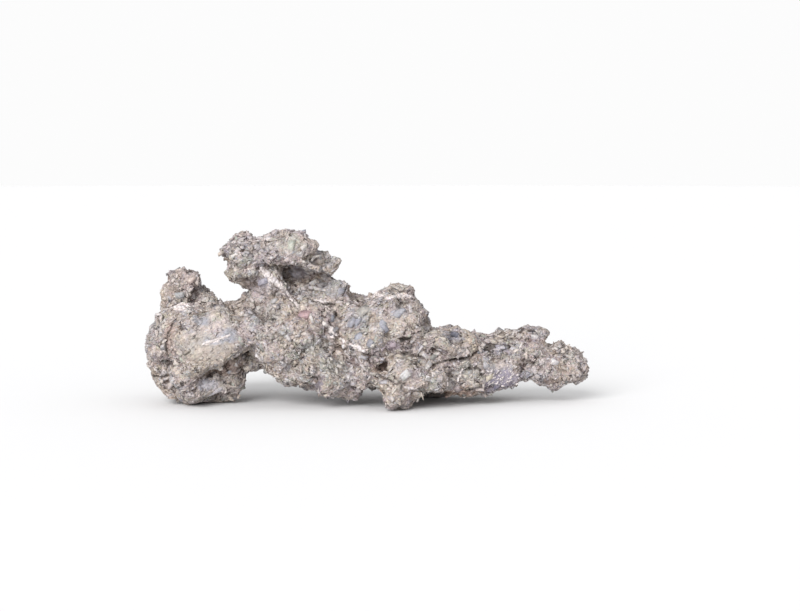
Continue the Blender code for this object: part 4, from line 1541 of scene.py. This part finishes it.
def chip_material(name, stops):
    material, tree, shader, place = start_material(name, {"Roughness": 0.75, "Specular IOR Level": 0.4})
    ground = add_group(tree, GROUND_TONES, place)["Color"]
    own = add_ramp(tree, kept_value(tree, "mineral"), stops)
    tone = add_mix(tree, "MIX", 0.45, ground, own)
    # Patch colours, quartz seams and the painted lip shadow.
    patch_share = add_product(tree, kept_value(tree, "patch", "Alpha"), 0.85)
    tone = add_mix(tree, "MIX", patch_share, tone, kept_value(tree, "patch", "Color"))
    tone = add_stain(tree, 1.0, tone, STONE_SHADE)
    tone = add_stain(tree, 0.6, tone, add_group(tree, MINERAL_MIX, place, Scale=700.0)["Tint"])
    # Darker in the hollows: partly grime, partly painted shade.
    tone = add_dirt_and_shade(tree, tone, 0.1, 0.75, 0.8, DIRT_AND_SHADE_COLOUR)
    cracks = add_group(tree, CRACK_LINES, place, Wide=0.0009, Narrow=0.0004)
    # The crack lines as painted shade.
    tone = add_stain(tree, add_product(tree, cracks["Line"], 0.8), tone, colour(92, 82, 77))
    leaning = add_group(tree, BROKEN_FACES, place, Coarse=420.0, Middle=700.0, Fine=1100.0, Lean=0.6)
    set_inputs(tree, shader, {"Base Color": tone, "Normal": leaning["Normal"]})
    return material


CHIP_KINDS = {
    "ochre_chips": [(0.0, colour(166, 157, 146)), (0.5, colour(208, 198, 184)), (1.0, colour(219, 211, 201))],
    "pinkish_chips": [
        (0.0, colour(161, 150, 147)), (0.5, colour(202, 191, 188)), (1.0, colour(215, 206, 203)),
    ],
    "grey_chips": [(0.0, colour(136, 135, 137)), (0.5, colour(184, 184, 186)), (1.0, colour(202, 204, 210))],
    "pale_chips": [(0.0, colour(184, 179, 175)), (0.6, colour(211, 208, 204)), (1.0, colour(229, 229, 228))],
}

laid_at = np.concatenate([all_at[:len(SET_STONES)], quartz_at])
stone_reach = STONE_CLEARANCE * np.array(set_sizes)[:, 1]
laid_reach = np.concatenate([stone_reach, np.full(len(quartz_at), CLEARANCE)])
laid_points = nearest_tree(laid_at)


def clear_of_laid(places, lengths):
    """Which chips do not cover a set stone or a quartz seam."""
    found = [laid_points.find(place) for place in places]
    return np.array([
        away > laid_reach[index] + OWN_CLEARANCE * length
        for (_, index, away), length in zip(found, lengths)
    ])


chip_luck = np.random.default_rng(1907)
chip_shapes = [broken_chip(shape_luck) for _ in range(CHIP_SHAPES)]
for kind_name, stops in CHIP_KINDS.items():
    at, normals, nearest = places_on_skin(body.data, CHIPS_PER_PIECE, chip_luck)
    across = CHIP_LEAST + CHIP_MORE * chip_luck.random(len(at)) ** CHIP_RARITY
    across *= size_on(broad_hollows[nearest])
    sizes = chip_sizes(across, chip_luck, *CHIP_SPREADS)
    wear = wear_at(at)
    sizes[:, 2] *= 1.0 - CHIP_THINNING * wear
    with_skin = np.clip(chip_luck.uniform(*CHIP_FLUSH, len(at)) + wear, 0.0, 1.0)[:, None]
    frames = chip_frames(at, normals, with_skin, chip_luck)
    centres = sunk(at, normals, frames, sizes, CHIP_SINK, chip_luck.uniform(*CHIP_STAND, len(at)))
    standing = (centres[:, 2] > SOLE_HEIGHT) & (chip_luck.random(len(at)) > WEAR_ON_CHIPS * wear)
    standing &= (crevice[nearest] < CHIP_HOLLOW) & clear_of_laid(at, sizes[:, 0])
    centres, frames, sizes, nearest = (rows[standing] for rows in (centres, frames, sizes, nearest))
    mineral = chip_luck.random(len(centres))
    values = {"mineral": mineral, "crevice": crevice[nearest], "patch": patches[nearest]}
    chips = joined_chips(kind_name, chip_shapes, centres, frames, sizes, values)
    chips.data.materials.append(chip_material(kind_name, stops))
    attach(chips, "root")


# ---------------------------------------------------------------------------------------------------------
# The studio: a white floor that runs on to a white background, soft light from all round and more of it
# from above, and the camera a little above the stone.
# ---------------------------------------------------------------------------------------------------------

FLOOR_RADIUS = 9.0

# The camera: how far it looks down in degrees, how far off it is, the width that it shows at the stone, the
# width of its sensor in millimetres, and what it aims at, to the east and up.
CAMERA_TILT = 5.0
CAMERA_DISTANCE = 1.9
SHOWN_WIDTH = 0.8
SENSOR_WIDTH = 36.0
AIM_EAST, AIM_UP = 0.0305, 0.0965


def studio_floor():
    bm = bmesh.new()
    bmesh.ops.create_circle(bm, cap_ends=True, radius=FLOOR_RADIUS, segments=96)
    mesh = bpy.data.meshes.new("studio_floor")
    bm.to_mesh(mesh)
    bm.free()
    paper = {"Base Color": (0.8, 0.8, 0.805, 1.0), "Roughness": 0.9, "Specular IOR Level": 0.2}
    mesh.materials.append(start_material("white_paper", paper)[0])
    floor = add_object("studio_floor", mesh)


def studio_light():
    world = bpy.data.worlds.new("soft_white")
    bpy.context.scene.world = world
    world.use_nodes = True
    tree = world.node_tree
    direction = add_node(tree, "TexCoord").outputs["Generated"]
    up = add_node(tree, "SeparateXYZ", {0: direction}).outputs["Z"]
    dome = add_ramp(tree, up, [(0.0, (0.84, 0.84, 0.845, 1)), (1.0, (0.76, 0.76, 0.76, 1))])
    seen = add_node(tree, "LightPath").outputs["Is Camera Ray"]
    shown = add_mix(tree, "MIX", seen, dome, (0.975, 0.975, 0.975, 1))
    set_inputs(tree, tree.nodes["Background"], {"Color": shown, "Strength": 1.0})
    lamp = bpy.data.lights.new("soft_box", "SUN")
    lamp.energy = 3.4
    lamp.angle = math.radians(38.0)
    add_object("soft_box", lamp).rotation_euler = (math.radians(64.0), 0.0, math.radians(-24.0))


def studio_camera():
    """The camera, in front of the stone and a little above it."""
    tilt = math.radians(CAMERA_TILT)
    target = Vector((AIM_EAST, 0.0, AIM_UP / math.cos(tilt)))
    back = Vector((0.0, -math.cos(tilt), math.sin(tilt)))
    camera = bpy.data.cameras.new("camera")
    camera.sensor_width = SENSOR_WIDTH
    camera.lens = SENSOR_WIDTH * CAMERA_DISTANCE / SHOWN_WIDTH
    camera.clip_end = 50.0
    holder = add_object("camera", camera)
    holder.location = target + back * CAMERA_DISTANCE
    holder.rotation_euler = (-back).to_track_quat("-Z", "Y").to_euler()
    bpy.context.scene.camera = holder


studio_floor()
studio_light()
studio_camera()
bpy.context.scene.view_settings.view_transform = "Standard"
